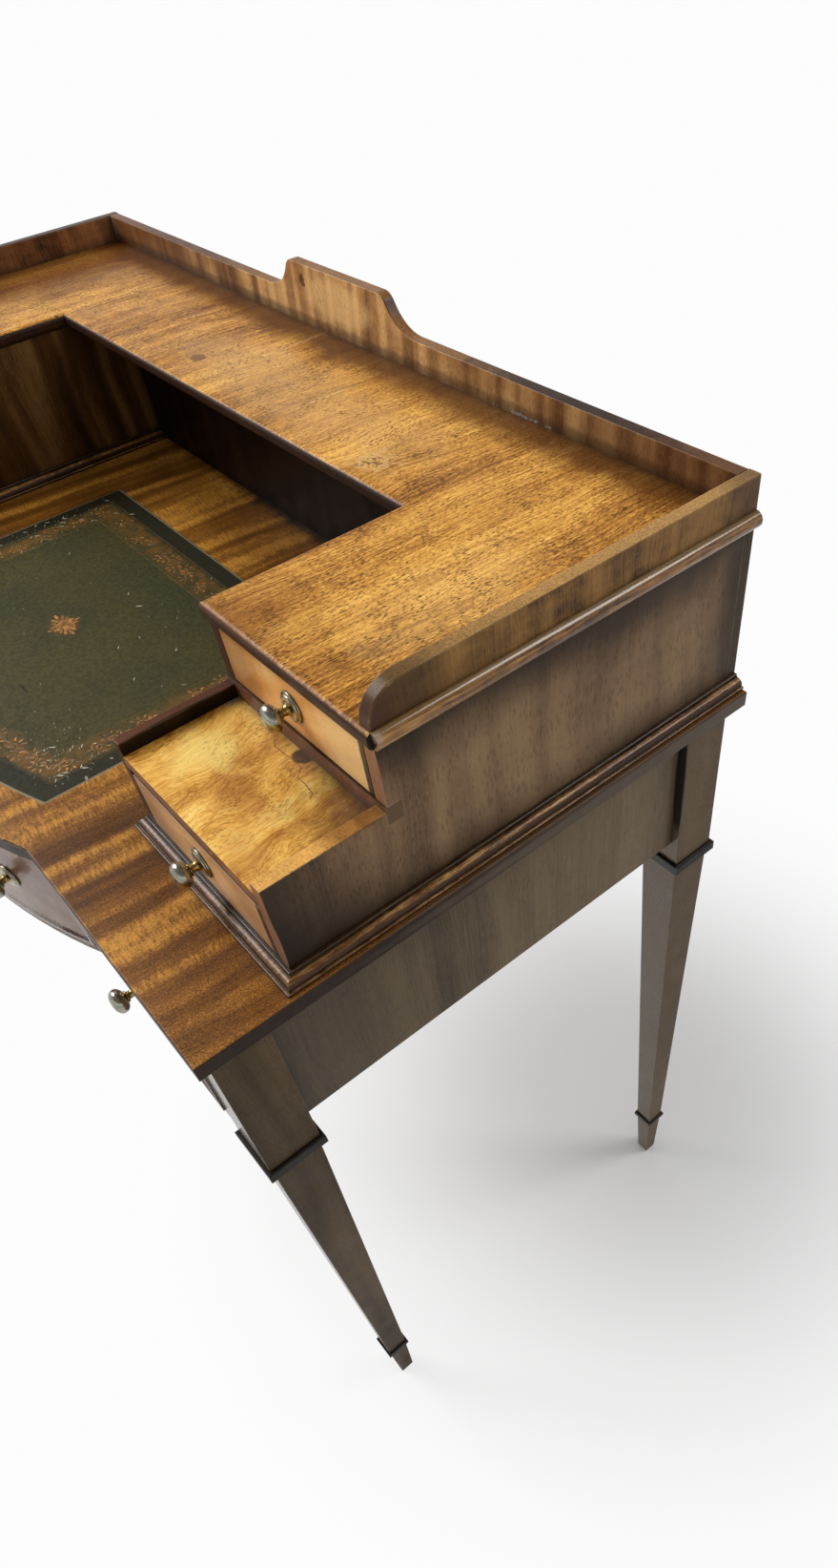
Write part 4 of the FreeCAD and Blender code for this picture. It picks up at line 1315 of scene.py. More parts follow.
# ---------------------------------------------------------------- turned knobs
@dataclass
class TurnedKnobs:
    """Brass knobs on round backplates. One profile is turned for all of them."""

    segments: int = 48
    samples: int = 120
    plate_mm: tuple[Pair, ...] = (
        (0.0, 0.0), (11.0, 0.0), (11.0, 1.1), (10.7, 1.5), (9.6, 1.55), (9.1, 1.9), (8.9, 2.4),
        (8.3, 2.75), (6.4, 2.8), (5.4, 3.0), (4.3, 3.5), (3.5, 4.4), (3.0, 5.6), (2.9, 6.8),
        (3.0, 8.0), (3.3, 8.6), (4.2, 8.9), (4.6, 9.4), (4.5, 9.9), (3.8, 10.2), (3.5, 10.4))
    ball_middle_mm: float = 15.4
    ball_radius_mm: float = 9.5
    ball_half_mm: float = 5.7
    ball_start_deg: float = 154.0
    ball_steps: int = 26
    ball_fullness: float = 0.82
    centre_pair_x: float = 0.165
    bow_radius: float = 0.60604
    bow_centre: float = 0.35004

    def profile(self) -> list[Vector]:
        """Radius and height of the turned outline, from the plate to the tip.

        Returns:
            The outline's points, in metres.
        """
        points = [Vector((r, 0.0, h)) for r, h in self.plate_mm]
        for i in range(self.ball_steps + 1):
            angle = math.radians(self.ball_start_deg * (1 - i / self.ball_steps))
            sine, cosine = math.sin(angle), math.cos(angle)
            radius = self.ball_radius_mm * math.copysign(abs(sine) ** self.ball_fullness, sine)
            height = self.ball_middle_mm + self.ball_half_mm * cosine
            points.append(Vector((max(radius, 0.0), 0.0, height)))
        return [p * MM for p in points]

    def seats(self, nodes: Sequence[str]) -> dict[str, list[tuple[Vector, Vector]]]:
        """Where each knob stands and which way it points, read from the frame's own knobs.

        Args:
            nodes: the frame's knob nodes.

        Returns:
            For each node, the seat and direction of each of its knobs.
        """
        found: dict[str, list[tuple[Vector, Vector]]] = {}
        for node in nodes:
            low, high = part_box(node)
            if "centre" not in node:
                tip = Vector(((low.x + high.x) / 2, low.y, (low.z + high.z) / 2))
                total = (self.ball_middle_mm + self.ball_half_mm) * MM
                found[node] = [(tip + Vector((0, total, 0)), Vector((0, -1, 0)))]
                continue
            found[node] = []
            for sign in (-1, 1):
                seat = Vector((sign * self.centre_pair_x, 0.0, (low.z + high.z) / 2))
                seat.y = self.bow_centre - math.sqrt(self.bow_radius ** 2 - seat.x ** 2)
                out = Vector((seat.x, seat.y - self.bow_centre, 0.0)).normalized()
                found[node].append((seat, out))
        return found

    def build(self) -> list[bpy.types.Object]:
        """Turn every knob and put it on its drawer.

        Returns:
            The knobs, one piece for each drawer.
        """
        brass = AgedBrass().build()
        outline = new_piece("knob_profile", path_mesh(self.profile(), closed=False))
        tree = self._tree()
        nodes = sorted(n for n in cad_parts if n.endswith(("_knob", "_knobs")))
        pieces = []
        for node, seats in self.seats(nodes).items():
            start = new_spots([seat for seat, _ in seats], [out for _, out in seats])
            body = node.rsplit("_", 1)[0]
            knob = grow(f"{node}_turned", start, tree,
                        {"Profile": outline, "Segments": self.segments, "Samples": self.samples,
                         "Material": brass})
            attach(knob, body)
            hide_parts(node)
            pieces.append(knob)
        bpy.data.objects.remove(outline)
        return pieces

    def _tree(self) -> Tree:
        """Geometry Nodes: turn a profile round its axis and set it on each point.

        Returns:
            The tree.
        """
        tree, given = new_tree("turned_knob", Profile="Object", Segments="Int", Samples="Int",
                               Material="Material")
        profile = add(tree, "GeometryNodeObjectInfo", {"Object": given["Profile"]},
                      out="Geometry")
        curve = add(tree, "GeometryNodeMeshToCurve", {"Mesh": profile})
        cells = add(tree, "GeometryNodeMeshGrid",
                    {"Size X": 1.0, "Size Y": 1.0, "Vertices X": given["Segments"],
                     "Vertices Y": given["Samples"]})
        flat = add(tree, "GeometryNodeInputPosition")
        flat = add(tree, "VectorMath", {0: flat, 1: (0.5, 0.5, 0.0)}, operation="ADD")
        parts = add(tree, "SeparateXYZ", {0: flat})
        across, up = parts.node.outputs[0], parts.node.outputs[1]
        spot = add(tree, "GeometryNodeSampleCurve", {"Curves": curve, "Factor": up},
                   out="Position", mode="FACTOR", use_all_curves=True)
        spot = add(tree, "SeparateXYZ", {0: spot})
        radius, height = spot.node.outputs[0], spot.node.outputs[2]
        angle = add(tree, "Math", {0: across, 1: math.tau}, operation="MULTIPLY")
        cosine = add(tree, "Math", {0: angle}, operation="COSINE")
        sine = add(tree, "Math", {0: angle}, operation="SINE")
        x = add(tree, "Math", {0: radius, 1: cosine}, operation="MULTIPLY")
        y = add(tree, "Math", {0: radius, 1: sine}, operation="MULTIPLY")
        place = add(tree, "CombineXYZ", {"X": x, "Y": y, "Z": height})
        far = add(tree, "Math", {0: height, 1: 1 / MM}, operation="MULTIPLY")
        turned = add(tree, "GeometryNodeStoreNamedAttribute",
                     {"Geometry": cells, "Name": "height", "Value": far}, data_type="FLOAT",
                     domain="POINT")
        turned = add(tree, "GeometryNodeSetPosition", {"Geometry": turned, "Position": place})
        turned = add(tree, "GeometryNodeMergeByDistance", {"Geometry": turned,
                                                           "Distance": 0.01 * MM})
        turned = add(tree, "GeometryNodeSetShadeSmooth", {"Geometry": turned})
        aim = add(tree, "GeometryNodeInputNamedAttribute", {"Name": "aim"},
                  data_type="FLOAT_VECTOR")
        spin = add(tree, "FunctionNodeAlignRotationToVector", {"Vector": aim}, axis="Z")
        points = add(tree, "GeometryNodeMeshToPoints", {"Mesh": given["Geometry"]})
        knobs = add(tree, "GeometryNodeInstanceOnPoints",
                    {"Points": points, "Instance": turned, "Rotation": spin})
        finish_tree(tree, knobs, given["Material"])
        return tree


# ---------------------------------------------------------------- woodwork
@dataclass
class Woodwork:
    """Finishes for the boards that the frame already holds."""

    side_shift_mm: tuple[float, float, float] = (40.0, 300.0, 0.0)
    drawer_shift_mm: float = 90.0
    runners: tuple[str, ...] = ("frieze_runners", "pedestal_runners", "drawer_stops")

    def dress(self, nodes: Sequence[str], finish: MahoganyVeneer) -> None:
        """Give some nodes one finish, with the same pattern running through them.

        Args:
            nodes: the frame's nodes.
            finish: the veneer.
        """
        lows, highs = zip(*(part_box(node) for node in nodes))
        low = Vector([min(c[i] for c in lows) for i in range(3)])
        high = Vector([max(c[i] for c in highs) for i in range(3)])
        material = finish.build(low, high)
        for node in nodes:
            self.paint(node, material)

    def paint(self, node: str, material: bpy.types.Material) -> None:
        """Put one material on one of the frame's nodes.

        Args:
            node: the frame's node.
            material: the finish.
        """
        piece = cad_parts[node]
        if piece.data.materials:
            for slot in piece.material_slots:
                slot.material = material
        else:
            piece.data.materials.append(material)
        LOG.info("%s: %s", node, material.name)

    def build(self) -> None:
        """Dress every board."""
        self._tops()
        for name, shift in (("left", self.side_shift_mm), ("right", (0.0, 0.0, 0.0))):
            self._sides(name, shift)
        self._backs()
        self._rails()
        self._legs()
        self._drawers()

    def _tops(self) -> None:
        """The writing top, the shelf and the trays: the brightest, most figured veneers."""
        self.dress(["writing_top"], MahoganyVeneer(
            "ribbon_mahogany_top", Grain.FRONT_TO_BACK, Facing.TOP,
            "#4a2a08", "#80501a", "#c88c38", "#20120a", edge_streak="#3c2414", ribbon_mm=19.0,
            ribbon=0.7, mottle=0.08, broad=0.25, slant_deg=5.0, bars=0.35, fleck=0.55,
            fleck_mm=(1.2, 0.6), pores=0.3, pore_mm=(3.6, 1.0), pore_tone="#341a06",
            streak=0.15, gloss=0.05, specular=0.12, rubbed="#c0a888", rub_highlight=0.7, marks=(
                # The next two marks are painted shadow: the shelf's shadow across the back of the
                # top, darkest beside the well panel.
                Mark((0.0, 128.0, 750.0), (300.0, 52.0, 5.0), "#3a1a06", 0.45, 0.3, 30.0, 0.7),
                Mark((0.0, 172.0, 750.0), (300.0, 24.0, 5.0), "#0c0502", 0.9, 0.3, 12.0, 0.8),
                Mark((481.0, 270.0, 742.0), (4.0, 420.0, 8.8), "#5a4e3e", 0.85, 0.1, 20.0,
                     0.4),
                Mark((480.0, 70.0, 751.0), (4.5, 215.0, 3.0), "#4c3a2c", 0.8, 0.1, 9.0, 0.3))))
        self.dress(["shelf_arm_left", "shelf_arm_right", "shelf_back"], MahoganyVeneer(
            "golden_mahogany_shelf", Grain.FRONT_TO_BACK, Facing.TOP,
            "#6a3c0c", "#bc8032", "#f0b858", "#2a1a14", edge_streak="#4a3022", ribbon_mm=26.0,
            ribbon=0.3, mottle=0.12, mottle_mm=11.0, broad=0.3, slant_deg=2.0, fleck=0.5,
            fleck_mm=(3.6, 0.9), pores=0.9, pore_mm=(4.4, 1.2), pore_tone="#4e2a0a",
            streak=0.5, gloss=0.06, specular=0.14, rubbed="#a08878", rub_highlight=0.0, marks=(
                # Painted shade and reflection of the gallery, on the shelf along the gallery's
                # back.
                Mark((0.0, 262.0, 0.0), (0.0, 58.0, 0.0), "#4e280c", 0.85, 0.25, 30.0, 0.6),
                Mark((-480.0, 120.0, 0.0), (200.0, 0.0, 0.0), "#5c3010", 0.75, 0.3, 60.0, 0.6),
                Mark((320.0, -70.0, 0.0), (105.0, 100.0, 0.0), "#7e4a18", 0.75, 0.4, 24.0, 0.9),
                # A painted sheen on the right arm, beside the gallery.
                Mark((400.0, 60.0, 0.0), (60.0, 110.0, 0.0), "#fcd084", 0.2, 0.5, 30.0, 0.8),
                Mark((60.0, 165.0, 0.0), (230.0, 62.0, 0.0), "#d0a468", 0.4, 0.3, 40.0, 0.6),
                Mark((-69.5, 143.8, 0.0), (10.0, 8.5, 0.0), "#6e451c", 0.85, 0.2, 5.0, 0.35),
                Mark((-126.0, 197.0, 0.0), (3.0, 38.0, 0.0), "#ecc480", 0.25, 0.5, 9.0, 0.7),
                Mark((-25.0, 222.0, 0.0), (3.5, 34.0, 0.0), "#ecc480", 0.2, 0.5, 9.0, 0.7),
                Mark((92.0, 170.0, 0.0), (3.0, 32.0, 0.0), "#ecc480", 0.3, 0.5, 9.0, 0.5),
                Mark((214.0, 134.0, 0.0), (25.0, 22.0, 0.0), "#f0cc8c", 0.35, 1.6, 7.0, 0.9),
                Mark((216.0, 133.0, 0.0), (5.0, 4.2, 0.0), "#5c3c16", 0.75, 7.0, 3.2, 0.8),
                Mark((0.0, 0.0, 880.0), (0.0, 0.0, 8.6), "#2e1c14", 0.85, 0.05, 4.0, 0.2)),
            burrs=(Burr((209.5, 135.7, 889.5), 75.0, 16.0),)))
        # corner is a painted glint in the tray's back left corner, shaded is the painted shadow of
        # the upper drawer's knob, and glow is a painted sheen.
        corner = ((290.0, -56.0, 820.5), (10.0, 12.0, 5.0), "#8c94a4", 0.65, 0.5, 3.0, 0.6)
        dusk = ((462.0, -46.0, 0.0), (104.0, 66.0, 0.0), "#4e2808", 0.85, 0.3, 14.0, 0.8)
        swirl = ((384.0, -104.0, 0.0), (32.0, 19.0, 0.0), "#a4662a", 0.5, 0.7, 15.0, 0.7)
        shaded = ((377.0, -54.0, 0.0), (9.0, 8.0, 0.0), "#3c2210", 0.9, 0.15, 5.0, 0.3)
        glow = ((326.0, -98.0, 0.0), (36.0, 34.0, 0.0), "#ffe888", 0.55, 0.8, 20.0, 0.9)
        front = ((425.0, -126.0, 0.0), (46.0, 16.0, 0.0), "#c48a42", 0.5, 0.4, 14.0, 0.8)
        marks = tuple(Mark(*mark) for mark in (glow, front, swirl, dusk, shaded, corner))
        for name, shift, spots in (("left", (80.0, 300.0, 0.0), ()),
                                   ("right", (30.0, 20.0, 0.0), marks)):
            self.dress([f"tray_board_{name}"], MahoganyVeneer(
                f"flame_mahogany_tray_{name}", Grain.FRONT_TO_BACK, Facing.TOP,
                "#a0601a", "#e8ae4e", "#ffe484", "#6e4630", ribbon_mm=26.0, ribbon=0.4,
                mottle=0.22, mottle_mm=17.0, broad=0.3, wander_mm=10.0, swirl_mm=8.0,
                fleck=0.2, fleck_mm=(6.0, 0.9), pores=0.6, pore_mm=(6.0, 1.0),
                pore_tone="#6a3408", streak=0.3, gloss=0.2, specular=0.16, shift_mm=shift,
                marks=spots, rubbed="#d8c0a0"))

    def _sides(self, name: str, shift: tuple[float, float, float]) -> None:
        """The superstructure's side panels, the gallery's sides and the side aprons.

        Args:
            name: left or right.
            shift: how far the pattern is moved along, across and through the board.
        """
        self.dress([f"outer_side_{name}"], MahoganyVeneer(
            f"olive_mahogany_side_{name}", Grain.UPRIGHT, Facing.SIDE,
            "#22180e", "#806448", "#a0845e", "#a8743c", "#eeb45e", ribbon_mm=22.0, ribbon=0.25,
            mottle=0.06, broad=0.35, fleck=0.1, pores=0.3, pore_mm=(9.0, 2.6), streak=0.1,
            shade=0.8, shade_mm=40.0, rubbed="#b8a48c", rub_highlight=0.5, shift_mm=shift, gloss=0.03,
            specular=0.12, edge_streak="#a87a5c",
            marks=(Mark((0.0, -150.0, 765.0), (0.0, 150.0, 75.0), "#1a1008", 0.8, 0.2, 40.0,
                        0.8),
                   Mark((0.0, -76.0, 831.0), (0.0, 27.0, 3.0), "#7e4e1e", 0.8, 0.1, 14.0, 0.8),
                   Mark((0.0, -60.0, 831.0), (0.0, 11.0, 3.0), "#6e4218", 0.8, 0.1, 14.0, 0.4),
                   *(Mark((side * 461.0, y, z), (7.5, 1.6, tall), "#8e6248", 0.85, 0.1, 3.0,
                          0.3) for side in (-1, 1)
                     for y, z, tall in ((-138.0, 783.0, 30.0), (-50.0, 855.0, 24.0))))))
        self.dress([f"inner_side_{name}"], MahoganyVeneer(
            f"dark_mahogany_inner_side_{name}", Grain.UPRIGHT, Facing.SIDE,
            "#20130a", "#4a2e14", "#72522c", "#4a2c1a", "#5e3620", ribbon_mm=22.0, ribbon=0.8,
            mottle=0.05, broad=0.3, fleck=0.12, pores=0.25, shift_mm=shift, specular=0.14,
            gloss=0.05,
            # Painted shade: near black on the inner faces of the lips beside the trays.
            marks=tuple(Mark((side * 293.0, -94.0, 824.0), (3.0, 60.0, 12.0), "#0c0603", 0.9,
                             0.1, 6.0, 0.3) for side in (-1, 1))))
        self.dress([f"side_apron_{name}"], MahoganyVeneer(
            f"olive_mahogany_apron_{name}", Grain.UPRIGHT, Facing.SIDE,
            "#352a1c", "#63523a", "#7b694c", "#4a3e32", ribbon_mm=22.0, ribbon=0.25,
            gloss=0.06, specular=0.17, mottle=0.05, broad=0.4, fleck=0.1, pores=0.2,
            pore_mm=(9.0, 2.2), streak=0.2,
            shift_mm=shift, marks=(
                Mark((0.0, -160.0, 0.0), (0.0, 170.0, 0.0), "#33281d", 0.5, 0.3, 50.0, 0.8),
                # Painted shadow: black in the slot where the apron meets the rear leg.
                Mark((0.0, 205.0, 690.0), (0.0, 3.0, 50.0), "#060403", 0.9, 0.1, 9.0, 0.4))))
        tones = {"left": ("#2e190c", "#764a2a", "#9c683e", "#2e1a10", "#3e2818"),
                 "right": ("#301a0a", "#86602e", "#aa7c40", "#4a2e1a", "#ba8e50")}[name]
        self.dress([f"gallery_{name}"], MahoganyVeneer(
            f"gallery_mahogany_{name}", Grain.UPRIGHT, Facing.SIDE, *tones, ribbon_mm=16.0,
            ribbon=0.3, gloss=0.06, specular=0.16, fleck=0.15, pores=0.2, shift_mm=shift,
            rubbed="#e0ba80", rub_highlight=0.8 if name == "right" else 0.3,
            marks=(Mark((0.0, -60.0, 0.0), (0.0, 130.0, 0.0), "#301c0c", 0.75, 0.3, 40.0, 0.8),
                   Mark((0.0, -50.0, 889.0), (0.0, 22.0, 30.0), "#4c2c1a", 0.75, 0.3, 9.0,
                        0.5),
                   Mark((0.0, 266.0, 0.0), (0.0, 46.0, 0.0), "#3c2a1c", 0.6, 0.2, 20.0, 0.9))))

    def _backs(self) -> None:
        """The gallery's back, the well's panel, the outer back and the rear apron."""
        self.dress(["gallery_back"], MahoganyVeneer(
            "striped_mahogany_gallery_back", Grain.UPRIGHT, Facing.FRONT,
            "#6c4526", "#b08250", "#e6b678", "#2a1a10", "#96683a", ribbon_mm=18.0, ribbon=0.85,
            mottle=0.1, broad=0.25, fleck=0.15, pores=0.35, streak=0.1, slant_deg=-5.0,
            rubbed="#c09860", rub_highlight=0.3, gloss=0.05, specular=0.15,
            marks=(Mark((430.0, 0.0, 0.0), (270.0, 0.0, 0.0), "#4e2c18", 0.68, 0.3, 40.0, 0.7),
                   Mark((-370.0, 0.0, 0.0), (190.0, 0.0, 0.0), "#683e20", 0.75, 0.3, 40.0, 0.6),
                   Mark((290.0, 0.0, 915.0), (200.0, 0.0, 2.5), "#23150e", 0.9, 0.2, 9.0, 0.4),
                   Mark((-290.0, 0.0, 915.0), (215.0, 0.0, 2.5), "#4a2e1c", 0.75, 0.2, 9.0,
                        0.4),
                   Mark((0.0, 0.0, 918.0), (62.0, 0.0, 22.0), "#f6cc8c", 0.5, 0.3, 20.0, 0.5),
                   # Painted glints: a pale line along the foot of the gallery back, and a bluish
                   # spot in its left corner.
                   Mark((245.0, 253.5, 890.5), (30.0, 3.0, 1.0), "#ece4d6", 0.85, 3.0, 3.0, 0.6),
                   Mark((-456.0, 253.5, 900.0), (7.0, 4.0, 15.0), "#b4bcc8", 0.6, 0.5, 4.0,
                        0.6),
                   Mark((0.0, 0.0, 893.0), (0.0, 0.0, 7.0), "#4c2e18", 0.5, 0.3, 9.0, 0.7),
                   Mark((-52.0, 0.0, 926.0), (5.0, 0.0, 6.0), "#3a2010", 0.8, 0.6, 3.0, 0.3))))
        self.dress(["back_panel"], MahoganyVeneer(
            "plain_mahogany_back", Grain.UPRIGHT, Facing.FRONT,
            "#3a2614", "#6a4a2a", "#80603a", "#3e3220", ribbon_mm=22.0, ribbon=0.35,
            fleck=0.2, pores=0.35, gloss=0.03, specular=0.12))
        # The well panel's near-black tones are painted shade, darker than the wood: it stands at
        # the back of the well, in deep shade.
        self.dress(["well_panel"], MahoganyVeneer(
            "well_panel_in_painted_shade", Grain.UPRIGHT, Facing.FRONT,
            "#050201", "#100603", "#1c0f07", "#1c1008", ribbon_mm=20.0, ribbon=0.7,
            fleck=0.15, pores=0.2, gloss=0.0, specular=0.1))
        self.dress(["rear_apron"], MahoganyVeneer(
            "plain_mahogany_rear_apron", Grain.ALONG_DESK, Facing.FRONT,
            "#352a1e", "#5c4a36", "#705c44", "#4a3e32", ribbon_mm=18.0, ribbon=0.3,
            fleck=0.15, pores=0.3))

    def _rails(self) -> None:
        """Front rails, dividers, the half-round bead and the reeded mouldings."""
        self.dress(["bottom_rail", "top_rail", "drawer_dividers"], MahoganyVeneer(
            "mahogany_front_rails", Grain.ALONG_DESK, Facing.FRONT,
            "#3a281e", "#7a6050", "#94786a", "#5a463a", ribbon_mm=10.0, ribbon=0.3, fleck=0.2,
            pores=0.3, rubbed="#c8b8ac", rub_highlight=0.7))
        self.dress(["pedestal_rails"], MahoganyVeneer(
            "mahogany_pedestal_rails", Grain.ALONG_DESK, Facing.FRONT,
            "#4a2c1e", "#7e5238", "#9a6a4a", "#574226", ribbon_mm=10.0, ribbon=0.3, fleck=0.2,
            pores=0.3, rubbed="#b89880", rub_highlight=0.15, gloss=0.05, specular=0.12,
            marks=tuple(Mark((side * 467.0, 0.0, 0.0), (4.0, 0.0, 0.0), "#665038", 0.85, 0.05,
                             9.0, 0.2) for side in (-1, 1))))
        self.dress(["shelf_beads"], MahoganyVeneer(
            "half_round_mahogany_bead", Grain.FRONT_TO_BACK, Facing.SIDE,
            "#2a1606", "#865820", "#b48440", "#4e3218", "#94703c", ribbon_mm=2.2, ribbon=0.5,
            fleck=0.25, fleck_mm=(20.0, 1.0), pores=0.2, pore_mm=(24.0, 0.8), roughness=0.2,
            gloss=0.8, specular=0.25, corner_shade=0.95, corner_shade_mm=6.0, rub_highlight=0.0,
            # A painted highlight on the bead's front end.
            marks=(Mark((469.0, -49.0, 888.0), (6.0, 4.0, 5.0), "#a89480", 0.6, 0.6, 3.0,
                        0.4),)))
        self.dress(["base_mouldings"], MahoganyVeneer(
            "reeded_mahogany_moulding", Grain.FRONT_TO_BACK, Facing.TOP,
            "#1a0c04", "#7c5024", "#c4965a", "#3c2412", ribbon_mm=2.2, ribbon=0.5,
            fleck=0.35, fleck_mm=(6.0, 1.4), pores=0.5, pore_mm=(8.0, 1.4), roughness=0.26,
            gloss=0.25, specular=0.2, corner_shade=1.0, corner_shade_mm=8.0, rubbed="#b8a890", rub_highlight=0.25,
            marks=(Mark((0.0, -150.0, 0.0), (0.0, 150.0, 0.0), "#4a2a10", 0.45, 0.3, 9.0,
                        0.8),
                   Mark((0.0, 0.0, 761.0), (0.0, 0.0, 3.6), "#1e1610", 0.75, 0.1, 4.0, 0.3))))

    def _legs(self) -> None:
        """The legs and their collars."""
        legs = [f"leg_{place}_{name}" for place in ("front", "rear")
                for name in ("left", "right")]
        self.dress(legs, MahoganyVeneer(
            "solid_mahogany_legs", Grain.UPRIGHT, Facing.SIDE,
            "#2c2114", "#493a26", "#624f38", "#524230", ribbon_mm=16.0, ribbon=0.35,
            mottle=0.05, broad=0.5, fleck=0.12, pores=0.3, streak=0.15, corner_shade_mm=5.0,
            gloss=0.03, front_gloss=0.85, specular=0.1, roughness=0.45, rubbed="#94846e", rub_highlight=0.4,
            marks=(
                Mark((476.0, -200.0, 700.0), (3.0, 26.0, 70.0), "#332619", 0.35, 0.3, 30.0, 0.8),
                Mark((0.0, 226.0, 0.0), (0.0, 60.0, 0.0), "#72604a", 0.5, 0.2, 30.0, 0.5),
                # Painted shadow: black on the narrow front step of each rear leg block beside the
                # apron.
                *(Mark((side * 472.0, 204.5, 684.0), (9.0, 1.6, 56.0), "#060403", 0.95, 0.05,
                       9.0, 0.2) for side in (-1, 1)))))
        # The collars' pale rubbed edges are mostly painted highlights on their arrises.
        self.dress(["leg_collars"], MahoganyVeneer(
            "mahogany_collars", Grain.ALONG_DESK, Facing.SIDE,
            "#0e0a07", "#1a150f", "#28221a", "#1a150f", ribbon_mm=6.0, ribbon=0.3, fleck=0.1,
            pores=0.2, corner_shade=0.9, corner_shade_mm=5.0, gloss=0.05, front_gloss=0.6, specular=0.12,
            rubbed="#868a84", rub_highlight=0.7))

    def _drawers(self) -> None:
        """Dress the drawer fronts, their beads and the bare wood inside."""
        for index, name in enumerate(("left", "right")):
            shift = (self.drawer_shift_mm * index, 0.0, 0.0)
            for level, dark, middle, light, end in (
                    ("upper", "#a46834", "#f0ac60", "#ffdc9a", "#ffdc98"),
                    ("lower", "#9c6836", "#dea468", "#fcc88c", "#a26c40")):
                self.dress([f"{level}_{name}_drawer_front"], MahoganyVeneer(
                    f"{level}_{name}_drawer_veneer", Grain.ALONG_DESK, Facing.FRONT,
                    dark, middle, light, "#6a452e", ribbon_mm=18.0, ribbon=0.35, mottle=0.25,
                    mottle_mm=22.0, broad=0.5, fleck=0.1, pores=0.1, streak=0.08,
                    slant_deg=18.0, shade=0.3, shade_mm=9.0, shift_mm=shift,
                    rubbed="#e0c4a0", rub_highlight=0.6, marks=(
                        Mark((300.0, 0.0, 0.0), (62.0, 0.0, 0.0), "#7c4a28", 0.55, 0.4, 20.0,
                             0.9),
                        Mark((436.0, 0.0, 0.0), (46.0, 0.0, 0.0), end, 0.6, 0.4, 20.0, 0.9),
                        # Painted shadow: a black line at each end of the front, for the gap beside
                        # the side panel.
                        *(Mark((side * 454.5, 0.0, 0.0), (6.5, 0.0, 0.0), "#0e0703", 0.95, 0.1,
                               3.0, 0.3) for side in (-1, 1)))))
        self.dress(["centre_drawer_front", "left_drawer_front", "right_drawer_front"],
                   MahoganyVeneer(
            "bow_drawer_veneer", Grain.ALONG_DESK, Facing.FRONT,
            "#4c2e1c", "#745038", "#946c4e", "#5a3c2c", ribbon_mm=18.0, ribbon=0.35,
            mottle=0.15, mottle_mm=20.0, broad=0.5, fleck=0.1, pores=0.15, streak=0.1,
            gloss=0.35, specular=0.3, roughness=0.3))
        # The cockbeads' pale rubbed edges are mostly painted highlights.
        self.dress(["centre_drawer_cockbead", "left_drawer_cockbead", "right_drawer_cockbead"],
                   MahoganyVeneer(
            "cockbead_mahogany", Grain.ALONG_DESK, Facing.FRONT,
            "#3a2218", "#7a5644", "#a08070", "#6a4a3c", ribbon_mm=3.0, ribbon=0.3,
            pores=0.2, gloss=0.8, specular=0.5, corner_shade_mm=3.0, rubbed="#d8ccc8", rub_highlight=0.8))
        lining = PlainTimber().build()
        boards = [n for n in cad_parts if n.endswith(("_box", "drawer_bottom"))]
        for node in [*boards, *self.runners]:
            self.paint(node, lining)


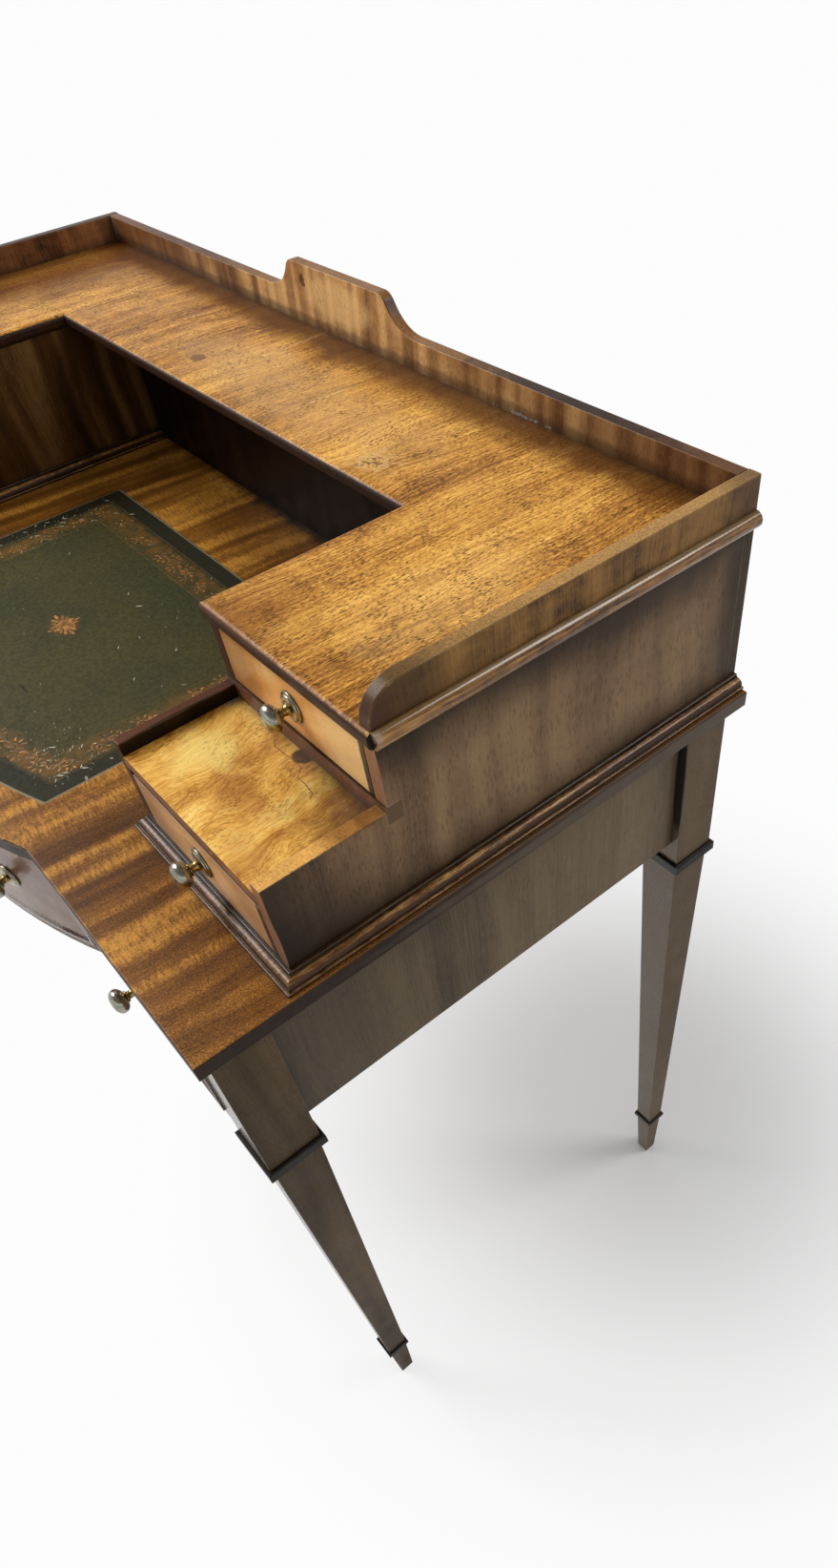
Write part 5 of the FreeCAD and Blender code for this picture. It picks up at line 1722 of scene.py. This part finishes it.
# ---------------------------------------------------------------- studio
@dataclass
class Studio:
    """Plain pale floor, soft lights and the camera."""

    frame_px: tuple[int, int] = (879, 1644)
    focal_px: float = 1008.123
    centre_px: Pair = (533.694, 952.603)
    place: tuple[float, float, float] = (0.829644, -0.238921, 1.217684)
    forward: tuple[float, float, float] = (-0.51578, 0.38019, -0.76774)
    right: tuple[float, float, float] = (0.65441, 0.75320, -0.06666)
    sensor_mm: float = 36.0
    floor_size: float = 60.0
    floor_grey: float = 0.8
    floor_white: float = 0.98
    shadow_middle: Pair = (0.36, 0.26)
    shadow_reach: Pair = (0.08, 0.65)
    sky: float = 0.5
    backdrop: float = 0.97
    ceiling: float = 0.2
    ceiling_span: Pair = (0.1, 0.6)
    aim: tuple[float, float, float] = (0.0, 0.0, 0.7)
    lamps: tuple[tuple[str, tuple[float, float, float], Pair, float], ...] = (
        ("window", (-3.2, -1.6, 3.8), (2.6, 2.6), 180.0),
        ("skylight", (1.45, 1.8, 3.15), (0.9, 1.5), 30.0))

    def build(self) -> None:
        """Set up the floor, the lamps, the world and the camera."""
        self._floor()
        self._lamps()
        self._world()
        self._camera()
        bpy.context.scene.view_settings.view_transform = "Standard"

    def _camera(self) -> None:
        """The camera stands above the right front corner and looks down across the desk."""
        camera = bpy.data.cameras.new("camera")
        width, height = self.frame_px
        camera.sensor_width = self.sensor_mm
        camera.lens = self.sensor_mm * self.focal_px / height
        camera.shift_x = (width / 2 - self.centre_px[0]) / height
        camera.shift_y = (self.centre_px[1] - height / 2) / height
        camera.clip_end = self.floor_size
        ahead, right = Vector(self.forward).normalized(), Vector(self.right).normalized()
        up = right.cross(ahead)
        holder = bpy.data.objects.new("camera", camera)
        axes = Matrix((right, up, -ahead)).transposed().to_4x4()
        holder.matrix_world = Matrix.Translation(Vector(self.place)) @ axes
        bpy.context.scene.collection.objects.link(holder)
        bpy.context.scene.camera = holder

    def _floor(self) -> None:
        """A floor that glows white to the camera, except near one point where the desk's shadow
        shows.
        """
        half = self.floor_size / 2
        mesh = bpy.data.meshes.new("floor")
        corners = [(-half, -half, 0), (half, -half, 0), (half, half, 0), (-half, half, 0)]
        mesh.from_pydata(corners, [], [(0, 1, 2, 3)])
        floor = new_piece("floor", mesh)
        material, tree, here = new_material("pale_floor")
        x, y = self.shadow_middle
        far = add(tree, "VectorMath", {0: here, 1: (-x, -y, 0.0)}, operation="ADD")
        far = add(tree, "VectorMath", {0: far}, out=1, operation="LENGTH")
        near, edge = self.shadow_reach
        far = add(tree, "MapRange", {0: far, 1: near, 2: edge, 3: 0.0, 4: 1.0},
                  interpolation_type="SMOOTHSTEP")
        # Painted light: to the camera the floor glows white by emission, more so away from
        # shadow_middle.
        seen = add(tree, "LightPath", out="Is Camera Ray")
        share = add(tree, "Math", {0: seen, 1: far}, operation="MULTIPLY")
        plain = add(tree, "BsdfDiffuse", {"Color": (*(self.floor_grey,) * 3, 1.0)})
        white = add(tree, "Emission", {"Color": (*(self.floor_white,) * 3, 1.0),
                                       "Strength": 1.0})
        both = add(tree, "MixShader", {0: share, 1: plain, 2: white})
        add(tree, "OutputMaterial", {"Surface": both})
        mesh.materials.append(material)

    def _lamps(self) -> None:
        """Large soft panels, all aimed at the desk."""
        for name, place, (wide, high), power in self.lamps:
            lamp = bpy.data.lights.new(name, "AREA")
            lamp.shape = "RECTANGLE"
            lamp.size, lamp.size_y = wide, high
            lamp.energy = power
            holder = bpy.data.objects.new(name, lamp)
            holder.location = place
            toward = Vector(self.aim) - Vector(place)
            holder.rotation_euler = toward.to_track_quat("-Z", "Y").to_euler()
            bpy.context.scene.collection.objects.link(holder)

    def _world(self) -> None:
        """Even soft light and a white backdrop; polished wood and metal see a dimmer ceiling
        above it."""
        world = bpy.data.worlds.new("studio")
        bpy.context.scene.world = world
        world.use_nodes = True
        tree = world.node_tree
        tree.nodes.clear()
        soft = add(tree, "Background", {"Color": (1.0, 1.0, 1.0, 1.0), "Strength": self.sky})
        up = add(tree, "TexCoord", out="Generated")
        up = add(tree, "SeparateXYZ", {0: up}, out="Z")
        low, high = self.ceiling_span
        level = add(tree, "MapRange", {0: up, 1: low, 2: high, 3: self.backdrop,
                                       4: self.ceiling}, interpolation_type="SMOOTHSTEP")
        paths = add(tree, "LightPath", out="Is Camera Ray")
        level = add(tree, "Mix", {0: paths, 2: level, 3: self.backdrop})
        white = add(tree, "Background", {"Color": (1.0, 1.0, 1.0, 1.0), "Strength": level})
        shiny = paths.node.outputs["Is Glossy Ray"]
        clear = paths.node.outputs["Is Transmission Ray"]
        seen = add(tree, "Math", {0: paths, 1: shiny}, operation="MAXIMUM")
        seen = add(tree, "Math", {0: seen, 1: clear}, operation="MAXIMUM")
        both = add(tree, "MixShader", {0: seen, 1: soft, 2: white})
        add(tree, "OutputWorld", {"Surface": both})


def main() -> None:
    """Build the desk's finishes and pieces in order, then the studio."""
    logging.basicConfig(level=logging.INFO, format="%(name)s: %(message)s")
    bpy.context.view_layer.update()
    Woodwork().build()
    for piece in [*LeatherPanel().build(), TraySplit().build(), *TurnedKnobs().build()]:
        LOG.info("%s: %d faces", piece.name, len(piece.data.polygons))
    Studio().build()


if __name__ == "__main__":
    main()
